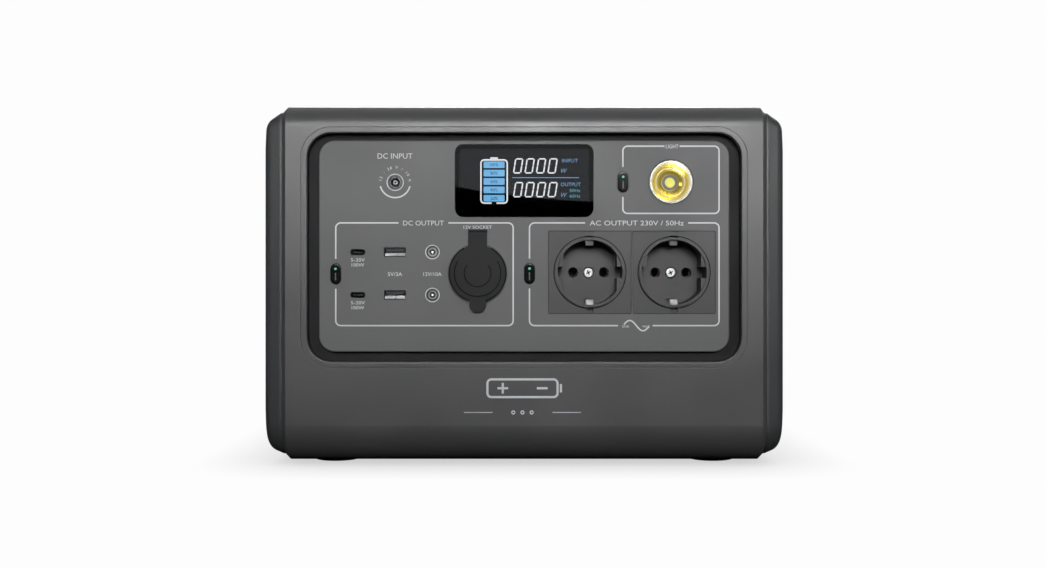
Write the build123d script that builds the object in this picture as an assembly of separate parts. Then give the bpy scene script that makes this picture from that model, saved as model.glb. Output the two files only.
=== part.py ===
from build123d import *
import os

# Portable power station, in millimetres: +X right, +Y back, +Z up.
# The origin is on the ground under the middle of the case, and the control panel faces -Y.

# ---- Case ----
HALF_WIDTH = 160.0
DEPTH = 216.0
FRONT_Y = -DEPTH / 2
BACK_Y = DEPTH / 2
SHELL_BOTTOM = 2.0
SHELL_TOP = 217.5
TOP_RADIUS = 13.0
BOTTOM_RADIUS = 23.0
WALL = 3.5
INSIDE_BOTTOM = SHELL_BOTTOM + WALL
INSIDE_TOP = SHELL_TOP - WALL
SHELL_HALF = 145.5
SHELL_CHAMFER = 2.4
SPLIT_Y = 62.0
SPLIT_GAP = 0.3

# ---- Side covers ----
COVER_GAP = 0.4
COVER_WALL = 2.6
COVER_INSET = 3.3
COVER_START = 147.5
COVER_SHOULDER = 156.6
SHOULDER_RADIUS = 8.0
START_RADIUS = 4.0
# How far each outline is drawn in: top, bottom, front and back, and what its corner radii gain
SHOULDER_DRAW = (5.8, 3.5, 4.0, -2.4)
FLAT_DRAW = (36.0, 30.0, 22.0, 14.0)
LIP_X = 141.0
RIB_X = 137.0
RIB_WIDTH = 4.0
RIB_INSET = 16.0
LIP_SPAN = 100.0
VENT_COUNT = 13
VENT_PITCH = 7.5
VENT_LENGTH = 118.0
VENT_HEIGHT = 3.4
VENT_Z = 125.0
COVER_SCREW_PLACES = [(-84.0, 22.0), (-90.0, 198.0), (84.0, 22.0), (90.0, 198.0)]

# ---- Front pocket and control panel: centre z, width, height, corner radius ----
PANEL = (132.6, 246.6, 127.0, 9.5)
POCKET = (131.85, 260.0, 136.9, 14.5)
PANEL_Y = -105.5
GROOVE_Y = -101.5
PLATE = 3.0
PANEL_BACK = PANEL_Y + PLATE
FLANGE_BACK = -99.5
FRAME_TOP = 204.2
LINE_MARGIN = 3.6
BOARD_Y = -90.0
BOARD = 1.6

# ---- Things on the panel: (x, z) of their centres ----
SCREEN_AT = (0.0, 171.95)
SCREEN = (83.3, 43.9, 5.2)
INPUT_AT = (-77.5, 171.0)
USB_C_AT = [(-100.0, 129.0), (-100.0, 103.3)]
USB_A_AT = [(-77.6, 129.0), (-77.6, 103.3)]
DC_JACK_AT = [(-55.1, 129.1), (-55.1, 103.3)]
CAR_AT = (-27.9, 116.3)
MAINS_AT = [(39.5, 116.9), (90.1, 116.9)]
LAMP_AT = (88.3, 171.3)
BUTTONS = {"dc_button": (-113.2, 116.0), "ac_button": (3.2, 116.2), "light_button": (59.4, 171.2)}
BUTTON = (6.3, 12.5)
BUTTON_TRAVEL = 0.8
SWITCH_DEPTH = 6.0

# ---- Mains sockets: two-pin with side earth, 19 mm pin spacing ----
MAINS_PLATE = 49.6
MAINS_FACE = -105.3
MAINS_RECESS_R = 19.5
MAINS_RIM_R = 21.0
MAINS_RIM_Y = -106.3
MAINS_DEPTH = 17.5
MAINS_FLOOR = MAINS_RIM_Y + MAINS_DEPTH
MAINS_BODY_R = 22.5
MAINS_BACK = -66.0
PIN_SPACING = 19.0
PIN_HOLE_R = 3.15

# ---- Car socket ----
CAR_FLANGE_R = 17.9
CAR_SEAT_R = 17.2
CAR_BORE_R = 10.75
CAR_LINER_R = 11.5
CAR_BODY_R = 13.4
CAR_FACE = -107.4
CAR_SEAT_Y = -106.4
CAR_LINER_Y = (-103.4, -69.4)
CAR_BACK = -60.0
CAP_R = 17.0
CAP_THICK = 1.4
CAP_Y = CAR_SEAT_Y - 0.1
STRAP_WIDTH = 11.3
TAB_WIDTH = 9.7
CAP_HINGE = (CAP_Y - CAP_THICK / 2, CAR_AT[1] + 24.1)

# ---- Carrying handle ----
TRAY_X = 106.0
TRAY_Y = (-36.0, 54.0)
TRAY_WALL = 2.5
TRAY_FLOOR = 193.0
PIVOT = (41.0, 209.0)
ARM_R = 10.0
ARM_X = (88.0, 100.0)
GRIP_Y = (-30.0, -12.0)
GRIP_Z = (201.0, 221.0)
PIN_R = 4.0
PIN_HEAD_R = 4.8
PIN_PLAY = 0.08

# ---- Inside ----
CELL_R = 16.6
CELL_PITCH = 34.2
CELL_COLUMNS = 7
CELL_Y = (-44.0, 92.0)
CELL_ROWS_Z = [29.0, 63.2]
CHASSIS_Z = (9.0, 11.0)
DECK_Z = (86.0, 88.0)
INVERTER_Z = 92.0
FAN_SIZE = 80.0
FAN_THICK = 25.0
FAN_X = 116.0
FAN_Z = 130.0
FAN_HOLE_SPACING = 71.5
FOOT_AT = [(x, y) for x in (-117.5, 117.5) for y in (-68.0, 68.0)]


# ---- Helpers ----
def front_plane(y):
    """A sketch plane facing the viewer: its own x and y are the case's x and z."""
    return Plane(origin=(0, y, 0), x_dir=(1, 0, 0), z_dir=(0, -1, 0))


def plate(outline, front, back):
    """The outline, given in x and z, as a slab between two depths."""
    return extrude(front_plane(front) * outline, amount=back - front, dir=(0, 1, 0))


def side_plate(outline, x0, x1):
    """The outline, given in y and z, as a slab between two x positions."""
    return extrude(Plane.YZ.offset(x0) * outline, amount=x1 - x0, dir=(1, 0, 0))


def top_plate(outline, z0, z1):
    """The outline, given in x and y, as a slab between two heights."""
    return extrude(Plane.XY.offset(z0) * outline, amount=z1 - z0, dir=(0, 0, 1))


def block(x0, x1, y0, y1, z0, z1):
    """A box from its six limits."""
    return Pos((x0 + x1) / 2, (y0 + y1) / 2, (z0 + z1) / 2) * Box(x1 - x0, y1 - y0, z1 - z0)


def disc(at, radius, front, back):
    """A round slab on the panel side, centred at (x, z)."""
    return plate(Pos(*at) * Circle(radius), front, back)


def rod_x(y, z, radius, x0, x1):
    """A round bar along X."""
    return side_plate(Pos(y, z) * Circle(radius), x0, x1)


def post(x, y, radius, z0, z1):
    """A round upright."""
    return top_plate(Pos(x, y) * Circle(radius), z0, z1)


def rounded(shape, grow=0.0):
    """One of the named outlines, (centre z, width, height, radius), made larger by grow."""
    z, width, height, radius = shape
    return Pos(0, z) * RectangleRounded(width + 2 * grow, height + 2 * grow, radius + grow)


def mirrored(part):
    """The same part on the other side of the case."""
    return mirror(part, about=Plane.YZ)


def group(*parts):
    """Separate solids kept together in one node."""
    solids = [solid for part in parts for solid in part.solids()]
    return Compound(children=solids)


# ---- Casing ----
def case_outline(inset):
    """The case seen from the side: a rectangle with tight top and wide bottom corners."""
    low, high = SHELL_BOTTOM + inset, SHELL_TOP - inset
    edge = BACK_Y - inset
    corners = [(-edge, low), (edge, low), (edge, high), (-edge, high)]
    bottom, top = max(BOTTOM_RADIUS - inset, 3), max(TOP_RADIUS - inset, 3)
    return make_face(FilletPolyline(*corners, radius=[bottom, bottom, top, top], close=True))


def tube(x0, x1, inset):
    """The case's outline as a solid bar between two x positions."""
    return side_plate(case_outline(inset), x0, x1)


def side_ribs():
    """The stiffening frames near both ends, with gussets that carry the screw bosses."""
    ring = tube(RIB_X, RIB_X + RIB_WIDTH, WALL) - tube(RIB_X - 1, RIB_X + RIB_WIDTH + 1, RIB_INSET)
    for low, high in ((INSIDE_BOTTOM, 38), (184, INSIDE_TOP)):
        ring += block(RIB_X, RIB_X + RIB_WIDTH, 36, BACK_Y - WALL, low, high)
    ring &= tube(RIB_X - 1, RIB_X + RIB_WIDTH + 1, WALL)
    for y, z in COVER_SCREW_PLACES:
        ring -= rod_x(y, z, 1.6, RIB_X - 1, RIB_X + RIB_WIDTH + 1)
    return ring + mirrored(ring)


def case_screw_places():
    """Where the rear half is screwed to the front half: (x, z)."""
    return [(x, z) for x in (1 - RIB_X, RIB_X - 1) for z in (32.0, 190.0)]


def whole_shell():
    """Both halves of the main shell, before they are parted."""
    outer = tube(-SHELL_HALF, SHELL_HALF, 0)
    ends = outer.faces().sort_by(Axis.X)
    outer = chamfer(ends[0].edges() + ends[-1].edges(), SHELL_CHAMFER)
    shell = outer - tube(-SHELL_HALF - 1, SHELL_HALF + 1, WALL)
    shell += side_ribs()
    for at in case_screw_places():
        shell += disc(at, 5, 36, BACK_Y - WALL)
    for at in case_screw_places():
        shell -= disc(at, 1.7, 40, SPLIT_Y)
        shell -= disc(at, 2.3, SPLIT_Y, BACK_Y + 1)
        shell -= disc(at, 4.6, BACK_Y - 3, BACK_Y + 1)
    for x, y in FOOT_AT:
        shell -= post(x, y, 15.3, SHELL_BOTTOM - 1, SHELL_BOTTOM + 1.5)
        shell -= post(x, y, 4.1, SHELL_BOTTOM, INSIDE_BOTTOM + 1)
    return shell


def front_shell(shell):
    """The main half: front, top with the handle opening, and most of the bottom."""
    half = shell & block(-200, 200, FRONT_Y - 1, SPLIT_Y - SPLIT_GAP / 2, -10, 300)
    opening = plate(rounded(POCKET), FRONT_Y - 1, FRONT_Y + WALL + 1)
    half -= opening
    mouth = [e for e in half.edges() if abs(e.center().Y - FRONT_Y) < 0.01 and
             e.bounding_box().max.X < POCKET[1] / 2 + 0.1 and e.bounding_box().min.X > -POCKET[1] / 2 - 0.1]
    half = fillet(mouth, 0.9)
    line = rounded(POCKET, LINE_MARGIN + 0.25) - rounded(POCKET, LINE_MARGIN - 0.25)
    half -= plate(line, FRONT_Y - 1, FRONT_Y + 0.4)
    half -= block(-TRAY_X, TRAY_X, *TRAY_Y, INSIDE_TOP - 1, SHELL_TOP + 1)
    half -= top_plate(mat_outline(0.2), SHELL_TOP - 1.2, SHELL_TOP + 1)
    for x, y in chassis_screw_places():
        half += post(x, y, 5, INSIDE_BOTTOM - 1, CHASSIS_Z[0])
        half -= post(x, y, 1.6, INSIDE_BOTTOM - 1, CHASSIS_Z[0] + 1)
    for x, z in panel_screw_places():
        half -= disc((x, z), 1.3, FRONT_Y + 1.2, FRONT_Y + WALL + 1)
    return half


def rear_shell(shell):
    """The shallow back half, with a lip that locates it inside the front half."""
    half = shell & block(-200, 200, SPLIT_Y + SPLIT_GAP / 2, BACK_Y + 1, -10, 300)
    lip = tube(-LIP_SPAN, LIP_SPAN, WALL + 0.05) - tube(-RIB_X, RIB_X, WALL + 1.6)
    half += lip & block(-200, 200, SPLIT_Y - 4, SPLIT_Y + 8, -10, INSIDE_BOTTOM + 5)
    joint = tube(-LIP_SPAN, LIP_SPAN, WALL - 1) - tube(-RIB_X, RIB_X, WALL + 1.6)
    half += joint & block(-200, 200, SPLIT_Y + 2, SPLIT_Y + 8, -10, INSIDE_BOTTOM + 5)
    return half


def cover_section(x, inset, top, bottom, side, rounder):
    """The cover's outline at x, drawn in at the top, the bottom and both sides."""
    base = COVER_INSET + inset
    low, high = SHELL_BOTTOM + base + bottom, SHELL_TOP - base - top
    edge = BACK_Y - base - side
    corners = [(-edge, low), (edge, low), (edge, high), (-edge, high)]
    r_bottom, r_top = BOTTOM_RADIUS - base + rounder, TOP_RADIUS - base + rounder
    outline = make_face(FilletPolyline(*corners, radius=[r_bottom, r_bottom, r_top, r_top], close=True))
    return Plane.YZ.offset(x) * outline


def dome(inset, start, shift):
    """The cover's swelling shape: straight at the seam, leaning in, then a nearly flat side."""
    return loft([cover_section(start, inset, 0, 0, 0, 0),
                 cover_section(COVER_START - shift, inset, 0, 0, 0, 0),
                 cover_section(COVER_SHOULDER - shift, inset, *SHOULDER_DRAW),
                 cover_section(HALF_WIDTH - shift, inset, *FLAT_DRAW)], ruled=True)


def edges_at(body, x):
    """The edges that lie in the plane of this x."""
    return [e for e in body.edges() if abs(e.bounding_box().min.X - x) + abs(e.bounding_box().max.X - x) < 0.01]


def smooth_dome():
    """The cover's outside, with its two creases rounded."""
    body = dome(0, SHELL_HALF + COVER_GAP, 0)
    body = fillet(edges_at(body, COVER_SHOULDER), SHOULDER_RADIUS)
    return fillet(edges_at(body, COVER_START), START_RADIUS)


def fan_screw_places():
    """The corners of a fan housing: (y, z)."""
    half = FAN_HOLE_SPACING / 2
    return [(y, FAN_Z + z) for y in (-half, half) for z in (-half, half)]


def side_cover():
    """The right-hand side cover, with its vents, locating lip, screw wells and fan posts."""
    edge = SHELL_HALF + COVER_GAP
    solid = smooth_dome() + tube(LIP_X, edge + 1, WALL + 0.3)
    room = dome(COVER_WALL, edge - 2, COVER_WALL) + tube(LIP_X - 1, edge, WALL + 1.9)
    room -= [rod_x(y, z, 5.5, LIP_X - 2, HALF_WIDTH) for y, z in COVER_SCREW_PLACES]
    room -= [rod_x(y, z, 4, LIP_X - 2, HALF_WIDTH) for y, z in fan_screw_places()]
    first = VENT_Z - VENT_PITCH * (VENT_COUNT - 1) / 2
    cuts = [room]
    for i in range(VENT_COUNT):
        slot = Pos(0, first + VENT_PITCH * i) * SlotOverall(VENT_LENGTH, VENT_HEIGHT)
        cuts.append(side_plate(slot, HALF_WIDTH - COVER_WALL - 1, HALF_WIDTH + 1))
    for y, z in COVER_SCREW_PLACES:
        cuts.append(rod_x(y, z, 1.8, LIP_X - 1, HALF_WIDTH))
        cuts.append(rod_x(y, z, 3.6, LIP_X + 4, HALF_WIDTH))
    for y, z in fan_screw_places():
        cuts.append(rod_x(y, z, 1.6, LIP_X - 1, LIP_X + 11))
    return solid - cuts


def foot(x, y):
    """A rubber foot: a low dome on the ground, seated in the shell, with a push-in stem."""
    dome_part = fillet(post(x, y, 15, 0, SHELL_BOTTOM + 1.4).edges().group_by(Axis.Z)[0], 1.4)
    return dome_part + post(x, y, 3.9, SHELL_BOTTOM, 8)


# ---- Panel trim and control panel ----
def panel_screw_places():
    """Screws that hold the trim frame behind the front wall: (x, z)."""
    below, beside = POCKET[0] - POCKET[2] / 2 - 3, POCKET[1] / 2 + 3
    return [(x, below) for x in (-100, 0, 100)] + [(x, z) for x in (-beside, beside) for z in (95, 170)]


def panel_frame():
    """The dark trim that makes the groove round the control panel."""
    frame = plate(rounded(POCKET, 6), FRONT_Y + WALL, FLANGE_BACK)
    frame &= block(-HALF_WIDTH, HALF_WIDTH, FRONT_Y, 0, 0, FRAME_TOP)
    frame -= plate(rounded(POCKET), FRONT_Y, GROOVE_Y)
    frame -= plate(rounded(PANEL, -4), FRONT_Y, FLANGE_BACK + 1)
    for at in panel_screw_places():
        frame -= disc(at, 1.6, FRONT_Y, FLANGE_BACK + 1)
    return frame


def control_panel():
    """The raised plate that carries every socket, button, lamp and the screen."""
    face = plate(rounded(PANEL), PANEL_Y, PANEL_BACK)
    face = fillet(face.faces().sort_by(Axis.Y)[0].edges(), 0.7)
    skirt = plate(rounded(PANEL) - rounded(PANEL, -2.2), PANEL_Y + 1, GROOVE_Y)
    panel = face + skirt
    front, back = PANEL_Y - 1, PANEL_BACK + 1
    width, height, radius = SCREEN
    panel -= plate(Pos(*SCREEN_AT) * RectangleRounded(width, height, radius), front, PANEL_Y + 1.6)
    panel -= plate(Pos(*SCREEN_AT) * RectangleRounded(width - 5, height - 5, 3), front, back)
    panel -= disc(INPUT_AT, 4.2, front, back)
    for at in USB_C_AT:
        panel -= plate(Pos(*at) * SlotOverall(9.2, 3.6), front, back)
    for at in USB_A_AT:
        panel -= plate(Pos(*at) * Rectangle(13.2, 5.7), front, back)
    for at in DC_JACK_AT:
        panel -= disc(at, 3.6, front, back)
    panel -= disc(CAR_AT, CAR_BODY_R + 0.2, front, back)
    slot = Pos(CAR_AT[0], CAP_HINGE[1] + 1.6) * Rectangle(STRAP_WIDTH + 0.2, 1.4)
    panel -= plate(slot, front, back)
    for at in MAINS_AT:
        panel -= plate(Pos(*at) * Rectangle(MAINS_PLATE + 0.3, MAINS_PLATE + 0.3), front, back)
    panel -= disc(LAMP_AT, 13.8, front, back)
    for at in BUTTONS.values():
        panel -= plate(Pos(*at) * button_outline(0.2), front, back)
    return panel


def button_outline(grow):
    """The pill shape of a button, upright."""
    return Rot(0, 0, 90) * SlotOverall(BUTTON[1] + 2 * grow, BUTTON[0] + 2 * grow)


def button(at):
    """A pill-shaped push button with a retaining flange and a stem to its switch."""
    cap = plate(Pos(*at) * button_outline(0), PANEL_Y - 1.0, PANEL_BACK + 0.3)
    cap = fillet(cap.faces().sort_by(Axis.Y)[0].edges(), 0.6)
    flange = plate(Pos(*at) * button_outline(1.1), PANEL_BACK + 0.2, PANEL_BACK + 1.4)
    return cap + flange + disc(at, 1.4, PANEL_BACK + 1, BOARD_Y - SWITCH_DEPTH - BUTTON_TRAVEL - 0.2)


def switches():
    """The small push switches behind the buttons, one for each."""
    bodies = []
    for x, z in BUTTONS.values():
        body = plate(Pos(x, z) * Rectangle(6, 6), BOARD_Y - 4, BOARD_Y)
        bodies.append(body + disc((x, z), 1.6, BOARD_Y - SWITCH_DEPTH, BOARD_Y - 4))
    return group(*bodies)


def lcd_window():
    """The smoked window, flush with the panel."""
    outline = RectangleRounded(SCREEN[0] - 0.3, SCREEN[1] - 0.3, SCREEN[2] - 0.15)
    return plate(Pos(*SCREEN_AT) * outline, PANEL_Y, PANEL_Y + 1.6)


def display_module():
    """The display behind the window, with its own board."""
    glass = plate(Pos(*SCREEN_AT) * Rectangle(76, 37), PANEL_Y + 1.8, PANEL_Y + 6)
    board = plate(Pos(*SCREEN_AT) * Rectangle(84, 42), PANEL_Y + 6, PANEL_Y + 7.6)
    return glass + board


# ---- Sockets ----
def mains_socket(at):
    """The moulded socket: square plate, raised rim, round well with side guides, pin holes."""
    x, z = at
    body = plate(Pos(x, z) * RectangleRounded(MAINS_PLATE, MAINS_PLATE, 0.8), MAINS_FACE, PANEL_BACK + 1)
    body += disc(at, MAINS_RIM_R, MAINS_RIM_Y, MAINS_FACE + 1)
    body += disc(at, MAINS_BODY_R, PANEL_BACK, MAINS_BACK)
    well = Pos(x, z) * (Circle(MAINS_RECESS_R) & Rectangle(32.4, 50))
    body -= plate(well, MAINS_RIM_Y - 1, MAINS_FLOOR)
    body -= disc(at, MAINS_RECESS_R, MAINS_RIM_Y - 1, MAINS_RIM_Y + 1.2)
    body -= plate(Pos(x, z) * (Circle(MAINS_RECESS_R) & Rectangle(50, 6.8)), MAINS_RIM_Y, MAINS_FLOOR)
    for side in (-1, 1):
        body -= disc((x + side * PIN_SPACING / 2, z), PIN_HOLE_R, MAINS_FLOOR - 1, MAINS_BACK - 2)
        reach = (MAINS_RIM_R + MAINS_PLATE / 2 + 1) / 2
        notch = Pos(x, z + side * reach) * Rectangle(4.7, MAINS_PLATE / 2 + 1 - MAINS_RIM_R)
        body -= plate(notch, MAINS_FACE - 1, MAINS_FACE + (0.5 if side > 0 else 2.4))
        room = Pos(x, z + side * 18.9) * Rectangle(5.6, 5.6)
        body -= plate(room, MAINS_RIM_Y + 1.2, MAINS_FLOOR + 3)
        strip = Pos(x, z + side * 20.1) * Rectangle(4.4, 1.0)
        body -= plate(strip, MAINS_FLOOR, MAINS_BACK + 1)
    body -= disc(at, 3.5, MAINS_FLOOR - 1, MAINS_FLOOR + 2.2)
    body -= disc(at, 1.6, MAINS_FLOOR - 1, MAINS_BACK + 1)
    return body


def earth_contacts(at):
    """One bent strap: a sprung finger at the top and the bottom of the well, joined behind."""
    x, z = at
    strap = block(x - 2.2, x + 2.2, MAINS_BACK + 0.2, MAINS_BACK + 1.2, z - 20.6, z + 20.6)
    strap -= disc(at, 2.2, MAINS_BACK, MAINS_BACK + 2)
    for side in (-1, 1):
        outer = [(MAINS_BACK + 0.7, 20.6), (-94, 20.6), (-98.4, 17.4), (-101.2, 17.4), (-104.4, 20.6)]
        inner = [(-104.9, 19.9), (-101.6, 16.4), (-98.0, 16.4), (-93.6, 19.6), (MAINS_BACK + 0.7, 19.6)]
        finger = Polygon(*[(y, side * dz) for y, dz in outer + inner], align=None)
        strap += Pos(0, 0, z) * side_plate(finger, x - 2.2, x + 2.2)
    return strap


def pin_sleeves(at):
    """The two sprung sleeves that grip the plug's pins."""
    x, z = at
    sleeves = []
    for side in (-1, 1):
        place = (x + side * PIN_SPACING / 2, z)
        sleeves.append(disc(place, 3.05, MAINS_FLOOR + 4, MAINS_BACK - 2) - disc(place, 2.43, MAINS_FLOOR, MAINS_BACK))
    return group(*sleeves)


def socket_screws():
    """The cross-head screw in the middle of each mains socket."""
    screws = []
    for at in MAINS_AT:
        head = disc(at, 2.95, MAINS_FLOOR - 0.3, MAINS_FLOOR + 2.1)
        head = fillet(head.faces().sort_by(Axis.Y)[0].edges(), 0.5)
        for size in ((3.4, 0.8), (0.8, 3.4)):
            head -= plate(Pos(*at) * Rectangle(*size), MAINS_FLOOR - 1, MAINS_FLOOR + 1)
        screws.append(head + disc(at, 1.5, MAINS_FLOOR + 2, MAINS_BACK + 3))
    return group(*screws)


def car_socket_bezel():
    """The round flange and sleeve of the 12 V socket, with a seat for its cap."""
    bezel = disc(CAR_AT, CAR_FLANGE_R, CAR_FACE, PANEL_Y) + disc(CAR_AT, CAR_BODY_R, PANEL_Y, CAR_BACK)
    bezel -= disc(CAR_AT, CAR_SEAT_R, CAR_FACE - 1, CAR_SEAT_Y)
    x, z = CAR_AT
    for width, side in ((STRAP_WIDTH + 0.6, 1), (TAB_WIDTH + 0.6, -1)):
        gap = Pos(x, z + side * 15) * Rectangle(width, 10)
        bezel -= plate(gap, CAR_FACE - 1, CAR_SEAT_Y)
    bezel -= disc(CAR_AT, CAR_LINER_R, CAR_SEAT_Y, CAR_BACK - 3)
    bezel -= disc(CAR_AT, 4, CAR_BACK - 4, CAR_BACK + 1)
    return bezel


def car_socket_barrel():
    """The metal liner, the socket's negative contact, with a turned-in mouth."""
    mouth, end = CAR_LINER_Y
    barrel = disc(CAR_AT, CAR_LINER_R, mouth, end) - disc(CAR_AT, CAR_BORE_R, mouth - 1, end + 1)
    return chamfer(barrel.faces().sort_by(Axis.Y)[0].edges().sort_by(SortBy.RADIUS)[0], 0.4)


def car_socket_contact():
    """The sprung centre contact at the bottom of the 12 V socket."""
    return disc(CAR_AT, 3.4, CAR_BACK - 9, CAR_BACK - 3) + disc(CAR_AT, 3.95, CAR_BACK - 3, CAR_BACK + 3)


def car_socket_cap():
    """The rubber cap with its plug, pull tab and the strap that it swings on."""
    x, z = CAR_AT
    front, hinge_y, hinge_z = CAP_Y - CAP_THICK, *CAP_HINGE
    cap = fillet(disc(CAR_AT, CAP_R, front, CAP_Y).faces().sort_by(Axis.Y)[0].edges(), 0.5)
    strap = block(x - STRAP_WIDTH / 2, x + STRAP_WIDTH / 2, front, CAP_Y, z + 13, hinge_z)
    strap += rod_x(hinge_y, hinge_z, CAP_THICK / 2, x - STRAP_WIDTH / 2, x + STRAP_WIDTH / 2)
    tab = plate(Pos(x, z - 17.9) * RectangleRounded(TAB_WIDTH, 11, 4.2), front - 0.2, CAP_Y)
    tab += block(x - TAB_WIDTH / 2, x + TAB_WIDTH / 2, front - 0.2, CAP_Y, z - 17.9, z - 14)
    cap += strap + tab
    for radius in (13.9, 8.0):
        ring = Circle(radius + 0.25) - Circle(radius - 0.25) - Pos(0, 20) * Rectangle(50, 40 - radius * 0.5)
        cap -= plate(Pos(x, z) * ring, front - 1, front + 0.3)
    cap += disc(CAR_AT, CAR_LINER_R - 0.3, CAP_Y, CAP_Y + 3) - disc(CAR_AT, 9.2, CAP_Y - 0.5, CAP_Y + 4)
    return cap


def cap_anchor():
    """The fixed end of the cap's strap, pushed through the panel and held by a bar behind."""
    x, low = CAR_AT[0], CAP_HINGE[1] + 1.0
    anchor = block(x - STRAP_WIDTH / 2, x + STRAP_WIDTH / 2, CAP_Y - CAP_THICK, PANEL_BACK, low, low + 1.2)
    return anchor + block(x - 7.5, x + 7.5, PANEL_BACK, PANEL_BACK + 1.5, low - 1, low + 3)


def usb_c_port(at):
    """A pressed steel shell with its contact tongue."""
    x, z = at
    shell = plate(Pos(x, z) * (SlotOverall(8.94, 3.26) - SlotOverall(8.34, 2.66)), PANEL_Y + 0.3, BOARD_Y)
    shell += plate(Pos(x, z) * SlotOverall(8.6, 2.9), BOARD_Y - 3, BOARD_Y)
    tongue = plate(Pos(x, z) * Rectangle(6.7, 0.7), PANEL_Y + 1.4, BOARD_Y - 3)
    return group(shell, tongue)


def usb_a_port(at):
    """A folded steel shell with its contact tongue in the upper half."""
    x, z = at
    shell = plate(Pos(x, z) * (Rectangle(13.0, 5.4) - Rectangle(12.3, 4.7)), PANEL_Y + 0.3, BOARD_Y)
    shell += plate(Pos(x, z) * Rectangle(12.6, 5.0), BOARD_Y - 3, BOARD_Y)
    tongue = plate(Pos(x, z + 1.1) * Rectangle(11.2, 1.9), PANEL_Y + 0.9, BOARD_Y - 3)
    return group(shell, tongue)


def dc_jack(at):
    """A 5.5 mm barrel jack with its centre pin."""
    body = disc(at, 3.5, PANEL_Y - 0.1, BOARD_Y) - disc(at, 2.8, PANEL_Y - 1, BOARD_Y - 4)
    pin = fillet(disc(at, 1.05, PANEL_Y + 2, BOARD_Y - 4).faces().sort_by(Axis.Y)[0].edges(), 0.5)
    return group(body, pin)


def input_jack():
    """The charging inlet: an insulating sleeve round a hollow centre contact."""
    body = disc(INPUT_AT, 4.1, PANEL_Y - 0.1, BOARD_Y) - disc(INPUT_AT, 3.2, PANEL_Y - 1, BOARD_Y - 3)
    body += disc(INPUT_AT, 6, PANEL_BACK, BOARD_Y) - disc(INPUT_AT, 3.2, PANEL_BACK - 1, BOARD_Y - 3)
    pin = disc(INPUT_AT, 1.4, PANEL_Y + 2, BOARD_Y - 3) - disc(INPUT_AT, 0.5, PANEL_Y, BOARD_Y - 6)
    return group(body, pin)


# ---- Lamp ----
def lamp_bezel():
    """The thin ring round the lamp."""
    return disc(LAMP_AT, 13.7, PANEL_Y - 0.5, PANEL_BACK + 1) - disc(LAMP_AT, 12.9, PANEL_Y - 1, PANEL_BACK + 2)


def lamp_lens():
    """The clear cover over the reflector."""
    return disc(LAMP_AT, 12.8, PANEL_Y - 0.2, PANEL_Y + 0.8)


def lamp_reflector():
    """A bowl that narrows to the emitter at its base."""
    x, z = LAMP_AT
    front, back = PANEL_Y + 0.9, PANEL_Y + 8
    wall = make_face(Polyline((12.8, front), (12.8, front + 1), (6.0, back), (4.8, back), (12.0, front), close=True))
    bowl = revolve(Plane.XY * wall, axis=Axis.Y)
    return Pos(x, 0, z) * bowl


def lamp_emitter():
    """The light source: an aluminium base with a domed phosphor chip."""
    base = disc(LAMP_AT, 7, PANEL_Y + 8.1, PANEL_Y + 10)
    chip = fillet(disc(LAMP_AT, 3, PANEL_Y + 6.6, PANEL_Y + 8.1).faces().sort_by(Axis.Y)[0].edges(), 1.2)
    return group(base, chip)


# ---- Boards behind the panel ----
def board_behind(x0, x1, z0, z1):
    """A circuit board standing behind the control panel."""
    return block(x0, x1, BOARD_Y, BOARD_Y + BOARD, z0, z1)


def panel_boards():
    """The boards behind the low-voltage outlets, the charging inlet and the mains button."""
    outlets = board_behind(-118, -48, 92, 140)
    return group(outlets, board_behind(-92, -63, 158, 184), board_behind(-4, 11, 100, 132))


def lamp_board():
    """The board for the lamp and its switch, with the spacer that carries the emitter."""
    spacer = disc(LAMP_AT, 6, PANEL_Y + 10, BOARD_Y)
    return board_behind(54, 103, 156, 186) + spacer


# ---- Handle and top ----
def mat_outline(grow):
    """The charging mat's outline on the top, in x and y."""
    return Pos(0, -66) * RectangleRounded(112 + 2 * grow, 46 + 2 * grow, 10 + grow)


def charging_mat():
    """A thin rubber mat over the charging coil."""
    mat = top_plate(mat_outline(0), SHELL_TOP - 1.2, SHELL_TOP + 0.4)
    return fillet(mat.faces().sort_by(Axis.Z)[-1].edges(), 0.3)


def charging_coil():
    """The flat winding under the mat, on its ferrite plate."""
    ring = top_plate(Pos(0, -66) * (Circle(21) - Circle(10)), INSIDE_TOP - 1.6, INSIDE_TOP)
    return ring + top_plate(Pos(0, -66) * Rectangle(46, 46), INSIDE_TOP - 3, INSIDE_TOP - 1.6)


def handle_tray():
    """The well in the top that the handle folds into, with bosses for its pivot pins."""
    y0, y1 = TRAY_Y
    flange = block(-TRAY_X - 8, TRAY_X + 8, y0 - 6, y1 + 5, INSIDE_TOP - 2, INSIDE_TOP)
    tray = flange + block(-TRAY_X + 0.2, TRAY_X - 0.2, y0 + 0.2, y1 - 0.2, TRAY_FLOOR, SHELL_TOP)
    inner = TRAY_X - 0.2 - TRAY_WALL
    room = block(-inner, inner, y0 + 0.2 + TRAY_WALL, y1 - 0.2 - TRAY_WALL, TRAY_FLOOR + TRAY_WALL, SHELL_TOP + 1)
    room = fillet(room.edges().filter_by(Axis.Z), 5)
    tray -= room
    boss = rod_x(*PIVOT, 8, ARM_X[1] + 0.4, inner + 1)
    pin_hole = rod_x(*PIVOT, PIN_R + 0.05, ARM_X[1], TRAY_X)
    pin_hole += rod_x(*PIVOT, PIN_HEAD_R + 0.4, TRAY_X - 0.2, TRAY_X + 4)
    return tray + boss + mirrored(boss) - pin_hole - mirrored(pin_hole)


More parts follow.
